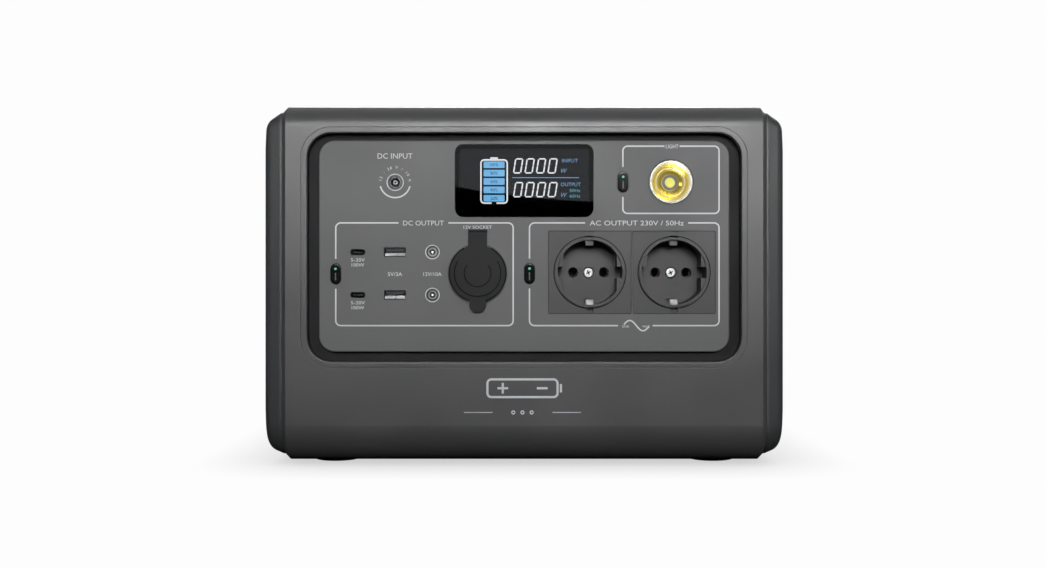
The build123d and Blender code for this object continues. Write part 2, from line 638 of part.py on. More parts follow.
def handle_pins():
    """The two steel pins that the handle turns on, headed on the outside of the tray."""
    outer = TRAY_X - 0.2
    pin = rod_x(*PIVOT, PIN_R, ARM_X[0] + 2, outer) + rod_x(*PIVOT, PIN_HEAD_R, outer, outer + 2)
    return group(pin, mirrored(pin))


def handle():
    """The folding handle: two arms and a grip, bored for the pins."""
    y0, y1 = GRIP_Y
    z0, z1 = GRIP_Z
    arm = Pos(*PIVOT) * Circle(ARM_R) + Pos((y0 + PIVOT[0]) / 2, PIVOT[1] + 1) * Rectangle(PIVOT[0] - y0, 18)
    arms = side_plate(arm, *ARM_X)
    arms -= rod_x(*PIVOT, PIN_R + PIN_PLAY, ARM_X[0] + 1.5, ARM_X[1] + 1)
    section = Pos((y0 + y1) / 2, (z0 + z1) / 2) * RectangleRounded(y1 - y0, z1 - z0, 6)
    grip = side_plate(section, -ARM_X[1], ARM_X[1])
    return arms + mirrored(arms) + grip


# ---- Battery, inverter and chassis ----
def chassis_screw_places():
    """Where the chassis plate is screwed down: (x, y)."""
    return [(x, y) for x in (-92.0, 92.0) for y in (-49.0, 40.0)]


def chassis_plate():
    """The steel floor with the pillars that carry the upper deck."""
    base = block(-129, 129, -56, 96, *CHASSIS_Z)
    for x, y in chassis_screw_places():
        base -= post(x, y, 2, CHASSIS_Z[0] - 1, CHASSIS_Z[1] + 1)
    for x in (-125.2, 125.2):
        for y in (-38, 90):
            base += post(x, y, 3.5, CHASSIS_Z[1], DECK_Z[0])
    return base


def deck_plate():
    """The upper deck that carries the inverter, on the chassis pillars."""
    deck = block(-129, 129, -42, 94, *DECK_Z)
    for x in (-100, 100):
        for y in (-25, 85):
            deck += post(x, y, 3, DECK_Z[1], INVERTER_Z)
    return deck


def cell_places():
    """The axes of the battery cells: (x, z)."""
    middle = (CELL_COLUMNS - 1) / 2
    return [((i - middle) * CELL_PITCH, z) for i in range(CELL_COLUMNS) for z in CELL_ROWS_Z]


def battery_cells():
    """Fourteen cylindrical cells, seven pairs in series."""
    return group(*[disc(at, CELL_R, *CELL_Y) for at in cell_places()])


def cell_holder(front, back):
    """A moulded rack that holds one end of every cell."""
    rack = block(-121, 121, front, back, CHASSIS_Z[1], 81)
    for at in cell_places():
        rack -= disc(at, CELL_R + 0.2, front - 1, back + 1)
    return rack


def busbars():
    """Nickel plates that join the cells, staggered from the front ends to the rear ends."""
    plates = []
    for pairs, front, back in (([(0, 1), (2, 3), (4, 5), (6, 6)], CELL_Y[0] - 0.6, CELL_Y[0]),
                               ([(0, 0), (1, 2), (3, 4), (5, 6)], CELL_Y[1], CELL_Y[1] + 0.6)):
        for first, last in pairs:
            x0 = (first - 3) * CELL_PITCH - 12
            x1 = (last - 3) * CELL_PITCH + 12
            plates.append(block(x0, x1, front, back, CELL_ROWS_Z[0] - 12, CELL_ROWS_Z[1] + 12))
    return group(*plates)


def bms_board():
    """The battery's protection board, standing in front of the cells on four spacers."""
    board = block(-60, 60, -50.6, -49, 20, 76)
    for x in (-1.5 * CELL_PITCH, 0.5 * CELL_PITCH):
        for z in (30, 66):
            board += disc((x, z), 2.5, -49, CELL_Y[0])
    for x in (-42, -14, 34):
        board += block(x, x + 14, -56, -50.6, 26, 42)
    return board


def inverter_board():
    """The inverter's circuit board with its input terminal block."""
    board = block(-105, 105, -32, 92, INVERTER_Z, INVERTER_Z + BOARD)
    return board + block(-8, 18, -32, -18, INVERTER_Z + BOARD, INVERTER_Z + 18)


def heat_sink():
    """An extruded aluminium heat sink; its fins run with the air from fan to fan."""
    y0, z0 = 50.0, INVERTER_Z + BOARD
    profile = Pos(y0 + 20, z0 + 2.5) * Rectangle(40, 5)
    for i in range(9):
        profile += Pos(y0 + 1 + i * 4.75, z0 + 20) * Rectangle(2, 40)
    return side_plate(profile, -95, 95)


def transformer(x, y, size):
    """A ferrite core round a wound bobbin, standing on the inverter board."""
    z0 = INVERTER_Z + BOARD
    core = block(x - size / 2, x + size / 2, y - 8, y + 8, z0, z0 + size)
    core -= block(x - size / 2 + 6, x + size / 2 - 6, y - 9, y + 9, z0 + 6, z0 + size - 6)
    winding = block(x - size / 2 + 6.2, x + size / 2 - 6.2, y - 14, y + 14, z0 + 6.2, z0 + size - 6.2)
    return group(core, winding)


def capacitors():
    """The inverter's storage capacitors."""
    places = [(x, y) for x in (-88, -66, 50, 72) for y in (-16, 8)]
    return group(*[post(x, y, 9, INVERTER_Z + BOARD, INVERTER_Z + 36) for x, y in places])


def battery_leads():
    """The two main leads from the protection board up to the inverter."""
    leads = []
    for x in (0.0, 10.0):
        route = FilletPolyline((x, -50.6, 66), (x, -66, 66), (x, -66, 102), (x, -32, 102), radius=9)
        section = Plane(origin=(x, -50.6, 66), z_dir=(0, -1, 0)) * Circle(2.6)
        leads.append(sweep(section, path=route))
    return group(*leads)


# ---- Fans ----
def fan_frame():
    """The square fan housing, with spokes that hold the motor's bearing on the inner side."""
    half = FAN_SIZE / 2
    frame = side_plate(Pos(0, FAN_Z) * RectangleRounded(FAN_SIZE, FAN_SIZE, 4), FAN_X, FAN_X + FAN_THICK)
    frame -= rod_x(0, FAN_Z, half - 1.5, FAN_X - 1, FAN_X + FAN_THICK + 1)
    frame += rod_x(0, FAN_Z, 17, FAN_X, FAN_X + 3)
    for angle in (45, 135, 225, 315):
        spoke = Rot(0, 0, angle) * Pos(half / 2 + 8, 0) * Rectangle(half - 12, 4)
        frame += side_plate(Pos(0, FAN_Z) * spoke, FAN_X, FAN_X + 3)
    frame -= rod_x(0, FAN_Z, 1.6, FAN_X - 1, FAN_X + 4)
    for y, z in fan_screw_places():
        frame -= rod_x(y, z, 2.1, FAN_X - 1, FAN_X + FAN_THICK + 1)
    return frame


def fan_rotor():
    """The hub with seven pitched blades and its shaft."""
    hub = rod_x(0, FAN_Z, 16.5, FAN_X + 3.8, FAN_X + FAN_THICK - 3)
    rotor = hub + rod_x(0, FAN_Z, 1.5, FAN_X + 0.5, FAN_X + 5)
    for i in range(7):
        blade = Rot(0, 0, 40) * Box(17, 1.6, 21.5)
        turn = Pos(FAN_X + 13, 0, FAN_Z) * Rot(i * 360 / 7, 0, 0)
        rotor += turn * Pos(0, 0, 15.5 + 21.5 / 2) * blade
    return rotor


# ---- Fasteners ----
def screw(at, head, shank, y_head, y_end):
    """A pan-head screw whose axis runs front to back, head at y_head."""
    step = 1 if y_end > y_head else -1
    faces = sorted((y_head, y_head + 2 * step)), sorted((y_head + 2 * step, y_end))
    body = disc(at, head, *faces[0]) + disc(at, shank, *faces[1])
    socket = plate(Pos(*at) * RegularPolygon(head * 0.5, 6), *sorted((y_head - step, y_head + 1.2 * step)))
    return body - socket


def case_screws():
    """The screws that join the rear half to the front half."""
    return group(*[screw(at, 4.2, 1.65, BACK_Y - 0.9, 45) for at in case_screw_places()])


def panel_screws():
    """The screws that hold the trim frame, from inside."""
    return group(*[screw(at, 2.6, 1.25, FLANGE_BACK + 2, FRONT_Y + 1.8) for at in panel_screw_places()])


def cover_screws():
    """The screws at the bottom of the wells in the side covers."""
    screws = []
    for y, z in COVER_SCREW_PLACES:
        one = rod_x(y, z, 3.3, LIP_X + 4, LIP_X + 6) + rod_x(y, z, 1.55, RIB_X - 4, LIP_X + 4)
        one -= side_plate(Pos(y, z) * RegularPolygon(1.7, 6), LIP_X + 5, LIP_X + 7)
        screws += [one, mirrored(one)]
    return group(*screws)


def chassis_screws():
    """The screws that hold the chassis plate down."""
    screws = []
    for x, y in chassis_screw_places():
        screws.append(post(x, y, 3, CHASSIS_Z[1], CHASSIS_Z[1] + 2) + post(x, y, 1.55, 5.0, CHASSIS_Z[1]))
    return group(*screws)


def build_parts():
    """Every node of the model, by name."""
    shell = whole_shell()
    cover = side_cover()
    frame = fan_frame()
    rotor = fan_rotor()
    parts = {
        "front_shell": front_shell(shell), "rear_shell": rear_shell(shell),
        "right_cover": cover, "left_cover": mirrored(cover),
        "panel_frame": panel_frame(), "control_panel": control_panel(),
        "lcd_window": lcd_window(), "display_module": display_module(),
        "button_switches": switches(), "socket_screws": socket_screws(),
        "car_socket_bezel": car_socket_bezel(), "car_socket_barrel": car_socket_barrel(),
        "car_socket_contact": car_socket_contact(), "car_socket_cap": car_socket_cap(),
        "cap_anchor": cap_anchor(), "input_jack": input_jack(),
        "lamp_bezel": lamp_bezel(), "lamp_lens": lamp_lens(),
        "lamp_reflector": lamp_reflector(), "lamp_emitter": lamp_emitter(),
        "panel_boards": panel_boards(), "lamp_board": lamp_board(),
        "charging_mat": charging_mat(), "charging_coil": charging_coil(),
        "handle_tray": handle_tray(), "handle_pins": handle_pins(), "handle": handle(),
        "chassis_plate": chassis_plate(), "deck_plate": deck_plate(),
        "battery_cells": battery_cells(), "busbars": busbars(), "bms_board": bms_board(),
        "cell_holder_front": cell_holder(CELL_Y[0], CELL_Y[0] + 18),
        "cell_holder_rear": cell_holder(CELL_Y[1] - 18, CELL_Y[1]),
        "inverter_board": inverter_board(), "heat_sink": heat_sink(), "capacitors": capacitors(),
        "transformers": group(transformer(-30, 10, 44), transformer(18, 12, 32)),
        "battery_leads": battery_leads(),
        "right_fan_frame": frame, "left_fan_frame": mirrored(frame),
        "right_fan_rotor": rotor, "left_fan_rotor": mirrored(rotor),
        "case_screws": case_screws(), "panel_screws": panel_screws(),
        "cover_screws": cover_screws(), "chassis_screws": chassis_screws(),
        "pin_sleeves": group(*[pin_sleeves(at) for at in MAINS_AT]),
        "usb_c_ports": group(*[usb_c_port(at) for at in USB_C_AT]),
        "usb_a_ports": group(*[usb_a_port(at) for at in USB_A_AT]),
        "dc_jacks": group(*[dc_jack(at) for at in DC_JACK_AT]),
        "feet": group(*[foot(x, y) for x, y in FOOT_AT]),
    }
    for name, at in BUTTONS.items():
        parts[name] = button(at)
    for place, at in zip(("left", "right"), MAINS_AT):
        parts[f"mains_socket_{place}"] = mains_socket(at)
        parts[f"earth_contacts_{place}"] = earth_contacts(at)
    return parts


def main():
    os.makedirs("parts", exist_ok=True)
    for name, part in build_parts().items():
        export_step(part, f"parts/{name}.step")


if __name__ == "__main__":
    main()
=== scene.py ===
# %% [markdown]
# # Dressing a portable power station
# The shape comes first: every part was drawn and packed as a solid model, and that model is the fixed
# frame of this lesson. Here each part gets the finish of the real material, and the fine things that
# are too small or too thin for the solid model are added: the printed lines, the picture on the
# display, the indicator lights, the contacts in the ports, the mirror of the lamp.

# %% Load the frame
import math

import bmesh
import bpy
from mathutils import Matrix, Vector


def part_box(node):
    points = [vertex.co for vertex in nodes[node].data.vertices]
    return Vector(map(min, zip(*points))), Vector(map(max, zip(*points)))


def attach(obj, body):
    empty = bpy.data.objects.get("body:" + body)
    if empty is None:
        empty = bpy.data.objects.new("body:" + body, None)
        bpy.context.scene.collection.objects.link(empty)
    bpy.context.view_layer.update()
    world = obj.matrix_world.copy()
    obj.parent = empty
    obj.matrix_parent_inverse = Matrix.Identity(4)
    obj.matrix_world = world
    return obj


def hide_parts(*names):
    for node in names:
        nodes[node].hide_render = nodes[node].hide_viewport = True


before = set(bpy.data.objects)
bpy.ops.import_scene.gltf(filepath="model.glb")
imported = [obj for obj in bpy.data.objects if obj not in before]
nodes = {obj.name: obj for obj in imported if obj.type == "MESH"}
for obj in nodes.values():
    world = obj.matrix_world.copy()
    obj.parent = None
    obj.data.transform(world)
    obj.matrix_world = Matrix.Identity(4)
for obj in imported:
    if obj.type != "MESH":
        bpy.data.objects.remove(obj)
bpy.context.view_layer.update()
mm = 0.001

# %% [markdown]
# ## Two small helpers
# Paint makers and screens give colours as sRGB codes, but the renderer works in linear light, so one
# function turns every code into linear numbers. Another one adds a node to a tree and fills or links
# its inputs. With these two, every finish below reads like a recipe.

# %% Colour and node helpers
def linear(code):
    """An sRGB colour such as "#2b2d30" as linear red, green, blue and alpha."""
    parts = [int(code[i:i + 2], 16) / 255 for i in (1, 3, 5)]
    return tuple(p / 12.92 if p <= 0.04045 else ((p + 0.055) / 1.055) ** 2.4 for p in parts) + (1.0,)


def add(tree, kind, inputs=None, **settings):
    """Adds one node. Settings are its own properties; inputs are values or sockets, by name or number."""
    node = tree.nodes.new(kind)
    for key, value in settings.items():
        setattr(node, key, value)
    for key, value in (inputs or {}).items():
        if isinstance(value, bpy.types.NodeSocket):
            tree.links.new(value, node.inputs[key])
        else:
            node.inputs[key].default_value = value
    return node


print("mid grey #808080 is", [round(v, 3) for v in linear("#808080")[:3]], "in linear light")

# %% [markdown]
# ## Camera and stage
# The product is looked at straight from the front, from half its height, with a normal lens at about
# 0.8 m, so hardly any side shows. The floor is pale. A dark object picks up a white floor as a grey
# veil on its underside, and photographers stop this with black cards. The floor here does the same:
# the camera sees it pale, with a painted shadow where things come near it, and the object sees it dark.
# The two key lights have a narrow spread, so the case is lit best near its top and darkens downwards.

# %% Camera
lens = bpy.data.cameras.new("camera")
lens.sensor_width = 36
lens.lens = 40.06
camera = bpy.data.objects.new("camera", lens)
camera.location = (-0.0004, -0.8055, 0.1099)
camera.rotation_euler = (math.radians(90), 0, 0)
bpy.context.scene.collection.objects.link(camera)
bpy.context.scene.camera = camera
bpy.context.scene.view_settings.view_transform = "Standard"

# %% Floor and surroundings
def flat_object(name, points, faces):
    """A flat mesh object, for the stage."""
    mesh = bpy.data.meshes.new(name)
    mesh.from_pydata(points, [], faces)
    thing = bpy.data.objects.new(name, mesh)
    bpy.context.scene.collection.objects.link(thing)
    return thing


floor = flat_object("floor", [(-9, -9, 0), (9, -9, 0), (9, 9, 0), (-9, 9, 0)], [(0, 1, 2, 3)])
paper = bpy.data.materials.new("paper_floor")
paper.use_nodes = True
tree = paper.node_tree
tree.nodes.clear()
# Painted shadow: ambient occlusion dims the floor's glow near things, as the camera sees it.
near = add(tree, "ShaderNodeAmbientOcclusion", {"Distance": 0.05}, samples=8)
painted_shadow = add(tree, "ShaderNodeMapRange", {"Value": near.outputs["AO"], "To Min": 0.62, "To Max": 1.0})
pale = add(tree, "ShaderNodeEmission", {"Color": linear("#fdfdfd"), "Strength": painted_shadow.outputs["Result"]})
dark = add(tree, "ShaderNodeBsdfDiffuse", {"Color": linear("#0c0c0c")})
looking = add(tree, "ShaderNodeLightPath")
either = add(tree, "ShaderNodeMixShader", {0: looking.outputs["Is Camera Ray"], 1: dark.outputs[0],
                                           2: pale.outputs[0]})
add(tree, "ShaderNodeOutputMaterial", {"Surface": either.outputs[0]})
floor.data.materials.append(paper)

world = bpy.data.worlds.new("studio")
bpy.context.scene.world = world
world.use_nodes = True
tree = world.node_tree
tree.nodes.clear()
looking = add(tree, "ShaderNodeLightPath")
room = add(tree, "ShaderNodeBackground", {"Color": linear("#8f9296"), "Strength": 0.30})
backdrop = add(tree, "ShaderNodeBackground", {"Color": linear("#fdfdfd"), "Strength": 1.0})
either = add(tree, "ShaderNodeMixShader", {0: looking.outputs["Is Camera Ray"], 1: room.outputs[0],
                                           2: backdrop.outputs[0]})
add(tree, "ShaderNodeOutputWorld", {"Surface": either.outputs[0]})
print("stage of", len(floor.data.polygons), "floor, seen pale and reflected dark")

# %% Soft lights
def softbox(name, place, target, size, watts, spread=180):
    """A rectangular studio light that points at a target and stays out of the picture."""
    light = bpy.data.lights.new(name, "AREA")
    light.shape = "RECTANGLE"
    light.size, light.size_y = size
    light.energy = watts
    light.spread = math.radians(spread)
    thing = bpy.data.objects.new(name, light)
    thing.location = place
    thing.rotation_euler = (Vector(target) - Vector(place)).to_track_quat("-Z", "Y").to_euler()
    thing.visible_camera = False
    bpy.context.scene.collection.objects.link(thing)
    return thing


softbox("front_key", (0.08, -1.70, 0.80), (0, 0, 0.26), (1.8, 0.40), 2.2, spread=40)
softbox("low_key", (0.06, -1.50, 0.47), (0.01, -0.108, 0.22), (1.3, 0.12), 1.2, spread=40)
softbox("top_wash", (0, 0.25, 1.1), (0, 0.05, 0.2), (1.2, 0.6), 1.5)
softbox("edge_left", (-1.2, -0.85, 0.52), (-0.15, -0.09, 0.14), (0.3, 0.5), 2.2)
softbox("edge_right", (1.2, -0.85, 0.52), (0.15, -0.09, 0.14), (0.3, 0.5), 4.6)
softbox("back_wash", (0.3, 1.5, 0.8), (0, 0, 0.12), (1.6, 0.7), 30.0)

# %% Card for the screen
def glowing_card(name, outline, y, tone, strength):
    """A lit card behind the camera that only mirrors can see."""
    card = flat_object(name, [(x, y, z) for x, z in outline], [tuple(range(len(outline)))])
    glow = bpy.data.materials.new(name)
    glow.use_nodes = True
    glow.node_tree.nodes.clear()
    lit = add(glow.node_tree, "ShaderNodeEmission", {"Color": linear(tone), "Strength": strength})
    add(glow.node_tree, "ShaderNodeOutputMaterial", {"Surface": lit.outputs[0]})
    card.data.materials.append(glow)
    card.visible_camera = False
    card.visible_diffuse = False
    card.visible_shadow = False
    return card


curve = [(x, 0.268 - 0.11 * x + 0.30 * x * x) for x in [-0.135 + 0.03 * i for i in range(10)]]
glowing_card("screen_card", curve + [(0.135, 0.40), (-0.135, 0.40)], -1.51, "#e8ecf0", 0.62)
glowing_card("screen_flag", curve + [(0.135, 0.12), (-0.135, 0.12)], -1.51, "#000000", 0.0)
print("card edge from", round(curve[0][1], 3), "to", round(curve[-1][1], 3), "m high")

# %% [markdown]
# ## Moulded plastics
# The case is ABS and polycarbonate, injection moulded in a steel tool whose walls were spark eroded.
# The tool leaves a fine leathery grain that scatters the light: soft broad highlights, no mirror
# images, and a tone that drifts a little over a hand's width. One recipe makes all of these plastics:
# a fine noise gives the grain as a bump, a slow noise drifts the tone and the gloss. The real grain is
# about 0.15 mm; it is drawn at 0.5 to 0.8 mm so that it shows at the size of a portrait.

# %% Start of every finish
def start_finish(name, **shader_inputs):
    """A new material with one Principled shader; gives the material, its tree, shader and object space."""
    material = bpy.data.materials.new(name)
    material.use_nodes = True
    tree = material.node_tree
    tree.nodes.clear()
    named = {key.replace("_", " "): value for key, value in shader_inputs.items()}
    shader = add(tree, "ShaderNodeBsdfPrincipled", named)
    add(tree, "ShaderNodeOutputMaterial", {"Surface": shader.outputs["BSDF"]})
    return material, tree, shader, add(tree, "ShaderNodeTexCoord").outputs["Object"]


def shaded(code, factor):
    """The colour, lighter or darker by a factor in linear light."""
    return tuple(min(1.0, v * factor) for v in linear(code)[:3]) + (1.0,)


# %% Recipe for grained plastic
def grained(name, tone, roughness, grain=0.6, depth=0.02, drift=0.07, gloss_drift=0.05, edge=0.0, **more):
    """Moulded plastic or rubber; grain, depth and edge radius in mm."""
    material, tree, shader, place = start_finish(name, **more)
    slow = add(tree, "ShaderNodeTexNoise", {"Vector": place, "Scale": 26.0, "Detail": 3.0})
    fine = add(tree, "ShaderNodeTexNoise", {"Vector": place, "Scale": 1 / (grain * mm), "Detail": 2.0})
    both = add(tree, "ShaderNodeMath", {0: slow.outputs["Fac"], 1: fine.outputs["Fac"]}, operation="ADD")
    part = add(tree, "ShaderNodeMapRange", {"Value": both.outputs[0], "From Min": 0.6, "From Max": 1.4})
    tint = add(tree, "ShaderNodeMix", {0: part.outputs[0], 6: shaded(tone, 1 - drift),
                                       7: shaded(tone, 1 + drift)}, data_type="RGBA")
    tree.links.new(tint.outputs[2], shader.inputs["Base Color"])
    gloss = add(tree, "ShaderNodeMapRange", {
        "Value": slow.outputs["Fac"], "From Min": 0.3, "From Max": 0.7,
        "To Min": roughness - gloss_drift, "To Max": roughness + gloss_drift})
    tree.links.new(gloss.outputs[0], shader.inputs["Roughness"])
    bump = add(tree, "ShaderNodeBump", {"Height": fine.outputs["Fac"], "Strength": 1.0, "Distance": depth * mm})
    if edge:
        soft_edge = add(tree, "ShaderNodeBevel", {"Radius": edge * mm}, samples=4)
        tree.links.new(soft_edge.outputs[0], bump.inputs["Normal"])
    tree.links.new(bump.outputs[0], shader.inputs["Normal"])
    return material


# %% Case plastics
finishes = {
    "shell_plastic": grained("moulded_abs_shell", "#3c3c3d", 0.385, 0.7, 0.030, edge=0.25),
    "cover_plastic": grained("moulded_abs_cover", "#333435", 0.41, 0.7, 0.030, edge=0.25),
    "trim_plastic": grained("moulded_abs_trim", "#141415", 0.62, 0.6, 0.020, edge=0.2, Specular_IOR_Level=0.2),
    "panel_plastic": grained("moulded_abs_panel", "#4d4d4e", 0.58, 0.5, 0.012, 0.04, edge=0.2),
    "socket_plastic": grained("moulded_polycarbonate_socket", "#2a2a2b", 0.52, 0.6, 0.008, edge=0.35),
    "black_plastic": grained("moulded_nylon_black", "#151617", 0.42, 0.6, 0.012, edge=0.25),
    "button_plastic": grained("polished_abs_button", "#0a0a0b", 0.12, 1.5, 0.0005, 0.05, 0.02, edge=0.6,
                              Specular_IOR_Level=0.4),
    "rubber": grained("moulded_silicone_rubber", "#141415", 0.62, 0.6, 0.016, 0.08, edge=0.2,
                      Specular_IOR_Level=0.22),
    "foot_rubber": grained("moulded_foot_rubber", "#1b1b1c", 0.72, 0.8, 0.040, 0.10),
    "cable": grained("silicone_cable_jacket", "#7c1717", 0.45, 0.8, 0.010, 0.08),
}
print(len(finishes), "moulded finishes")

# %% [markdown]
# ## Metals
# Zinc plating, nickel plating and brass are thin bright layers: no colour of their own under the
# gloss, only the metal's. Sheet steel and aluminium were rolled or brushed, which leaves fine lines
# in one direction. The lines come from a noise that is stretched a hundred times along one axis.

# %% Recipe for metal
def metal(name, tone, roughness, line=0.0, along=(1, 40, 40), depth=0.004, drift=0.08):
    """A metal finish. line is the spacing of brushing marks in mm, 0 for a plated part."""
    material, tree, shader, place = start_finish(name, Metallic=1.0)
    stretch = add(tree, "ShaderNodeMapping", {"Vector": place, "Scale": along if line else (1, 1, 1)})
    scale = 1 / (max(line, 2.0) * mm) / (max(along) if line else 1)
    marks = add(tree, "ShaderNodeTexNoise", {"Vector": stretch.outputs[0], "Scale": scale, "Detail": 4.0})
    tint = add(tree, "ShaderNodeMix", {0: marks.outputs["Fac"], 6: shaded(tone, 1 - drift),
                                       7: shaded(tone, 1 + drift)}, data_type="RGBA")
    tree.links.new(tint.outputs[2], shader.inputs["Base Color"])
    gloss = add(tree, "ShaderNodeMapRange", {"Value": marks.outputs["Fac"], "From Min": 0.3, "From Max": 0.7,
                                             "To Min": roughness * 0.8, "To Max": roughness * 1.25})
    tree.links.new(gloss.outputs[0], shader.inputs["Roughness"])
    bump = add(tree, "ShaderNodeBump", {"Height": marks.outputs["Fac"], "Strength": 1.0,
                                        "Distance": depth * mm})
    tree.links.new(bump.outputs[0], shader.inputs["Normal"])
    return material


# %% Metal finishes
finishes.update({
    "zinc_steel": metal("zinc_plated_steel", "#a9abae", 0.42, depth=0.0, drift=0.04),
    "dark_steel": metal("black_oxide_steel", "#2e2f31", 0.38),
    "nickel": metal("nickel_plated_brass", "#dcdad6", 0.42, depth=0.0, drift=0.03),
    "brass": metal("bare_brass", "#c8a052", 0.28),
    "sheet_steel": metal("galvanised_sheet", "#9a9da1", 0.42, 6.0, (1, 1, 1)),
    "aluminium": metal("extruded_aluminium", "#a9acb0", 0.34, 0.5),
    "copper": metal("enamelled_copper", "#a8582c", 0.30, 0.8, (40, 1, 40), 0.03),
    "reflector": metal("aluminised_mirror", "#e9e4d0", 0.09, 0.0, depth=0.0),
})
print("metals:", sorted(set(finishes) & {"zinc_steel", "dark_steel", "nickel", "brass", "aluminium", "copper"}))

# %% [markdown]
# ## Clear parts, boards and wrapped cells
# The display sits behind smoked acrylic and the lamp behind clear polycarbonate: both polished, so
# they mirror the softboxes and let the rest through. Circuit boards are green solder mask over copper,
# which shows as faint paths. Cells and capacitors wear a shrunk PVC sleeve with a satin gloss.

# %% Clear finishes
def clear(name, tone, ior, smudge):
    """Polished clear plastic; smudge is how uneven its gloss is."""
    material, tree, shader, place = start_finish(name, Base_Color=linear(tone), IOR=ior,
                                                 Transmission_Weight=1.0)
    touch = add(tree, "ShaderNodeTexNoise", {"Vector": place, "Scale": 60.0, "Detail": 3.0})
    gloss = add(tree, "ShaderNodeMapRange", {"Value": touch.outputs["Fac"], "From Min": 0.35, "From Max": 0.7,
                                             "To Min": 0.0, "To Max": smudge})
    tree.links.new(gloss.outputs[0], shader.inputs["Roughness"])
    return material


finishes["window_plastic"] = clear("smoked_acrylic_window", "#b9bcc2", 1.49, 0.004)
finishes["clear_plastic"] = clear("clear_polycarbonate_lens", "#fbfbf7", 1.58, 0.03)


# %% Circuit board and sleeves
def circuit_board():
    """Solder mask over copper tracks: straight paths a few mm apart, in two directions."""
    material, tree, shader, place = start_finish("solder_mask_on_glass_epoxy", Roughness=0.33, Coat_Weight=0.3)
    cells = add(tree, "ShaderNodeTexVoronoi", {"Vector": place, "Scale": 320.0}, distance="MANHATTAN",
                feature="DISTANCE_TO_EDGE")
    track = add(tree, "ShaderNodeMapRange", {"Value": cells.outputs["Distance"], "From Min": 0.08,
                                             "From Max": 0.14})
    tint = add(tree, "ShaderNodeMix", {0: track.outputs[0], 6: linear("#1f6b3c"), 7: linear("#0d4526")},
               data_type="RGBA")
    tree.links.new(tint.outputs[2], shader.inputs["Base Color"])
    bump = add(tree, "ShaderNodeBump", {"Height": track.outputs[0], "Strength": 0.6, "Distance": 0.03 * mm})
    tree.links.new(bump.outputs[0], shader.inputs["Normal"])
    return material


finishes["circuit_board"] = circuit_board()
finishes["cell_case"] = grained("shrunk_pvc_sleeve_cell", "#1d5f8f", 0.28, 2.0, 0.02, 0.05)
finishes["capacitor_sleeve"] = grained("shrunk_pvc_sleeve_capacitor", "#15181c", 0.25, 2.0, 0.02, 0.05)
# Painted highlight: the lamp is off, and the phosphor's faint glow stands in for the studio lights shining on
# it.
finishes["phosphor"] = grained("silicone_with_yellow_phosphor", "#d8cf52", 0.35, 0.4, 0.01, 0.08,
                               Emission_Color=linear("#f4ee8a"), Emission_Strength=0.55)
print(len(finishes), "finishes in all")

# %% Give every node its finish
for name, thing in sorted(nodes.items()):
    for index, old in enumerate(thing.data.materials):
        key = old.name.split(".")[0]
        if key in finishes:
            thing.material_slots[index].link = "OBJECT"
            thing.material_slots[index].material = finishes[key]
        else:
            print("no finish for", name, key)
print("finished", len(nodes), "nodes")

# %% [markdown]
# A few nodes share a slot with others but look different on the real thing: the face of the display
# is black glass, the lamp has a black ring, and the earth contacts are satin from the plug's wiping.
# The sleeves that grip the pins sit deep in the holes, and their dark tone is painted shade.

# %% Finishes for single nodes
# Painted shade: the pin sleeves are made dark for the shade inside the socket holes.
painted_shade_sleeve = metal("dulled_bronze_sleeve", "#3c3a36", 0.6, depth=0.0)
satin = metal("satin_nickel_spring", "#f4f4f4", 0.62, depth=0.0, drift=0.02)
glass = grained("black_display_glass", "#020202", 0.03, 2.0, 0.0, 0.05, 0.01)
for name, finish in (("display_module", glass),
                     ("lamp_bezel", finishes["black_plastic"]), ("pin_sleeves", painted_shade_sleeve),
                     ("earth_contacts_left", satin), ("earth_contacts_right", satin)):
    nodes[name].material_slots[0].link = "OBJECT"
    nodes[name].material_slots[0].material = finish
print("single nodes refined")

# %% [markdown]
# ## Helpers for small parts
# Ports, rings and plates all face the front, so they are drawn as outlines in x and z and given
# depth in y. A prism is a filled outline, a sleeve is a ring between two outlines. The last helper
# turns the drawing into a finished piece: clean normals, soft edges, its finishes and its body.

# %% Outlines
def circle(at, radius, count=48):
    """A round outline as (x, z) points, in mm."""
    angles = [2 * math.pi * i / count for i in range(count)]
    return [(at[0] + radius * math.cos(a), at[1] + radius * math.sin(a)) for a in angles]


def box_outline(at, width, height, radius, steps=5):
    """A rectangle with round corners as (x, z) points, in mm."""
    points = []
    for quarter, (sx, sz) in enumerate(((1, 1), (-1, 1), (-1, -1), (1, -1))):
        cx, cz = at[0] + sx * (width / 2 - radius), at[1] + sz * (height / 2 - radius)
        for i in range(steps + 1):
            angle = math.pi / 2 * (quarter + i / steps)
            points.append((cx + radius * math.cos(angle), cz + radius * math.sin(angle)))
    return points


# %% Prisms and sleeves
def layer(bm, outline, y):
    """One row of vertices at a depth."""
    return [bm.verts.new((x * mm, y * mm, z * mm)) for x, z in outline]


def prism(bm, outline, front, back, paint=0):
    """A filled outline between two depths."""
    a, b = layer(bm, outline, front), layer(bm, outline, back)
    faces = [bm.faces.new(a), bm.faces.new(b[::-1])]
    faces += [bm.faces.new((a[i], a[i - 1], b[i - 1], b[i])) for i in range(len(a))]
    for face in faces:
        face.material_index = paint


def sleeve(bm, outer, inner, front, back, paint=0):
    """A ring between two outlines with as many points each."""
    rows = [layer(bm, outer, front), layer(bm, outer, back), layer(bm, inner, back), layer(bm, inner, front)]
    for k, row in enumerate(rows):
        other = rows[(k + 1) % 4]
        for i in range(len(row)):
            bm.faces.new((row[i], row[i - 1], other[i - 1], other[i])).material_index = paint


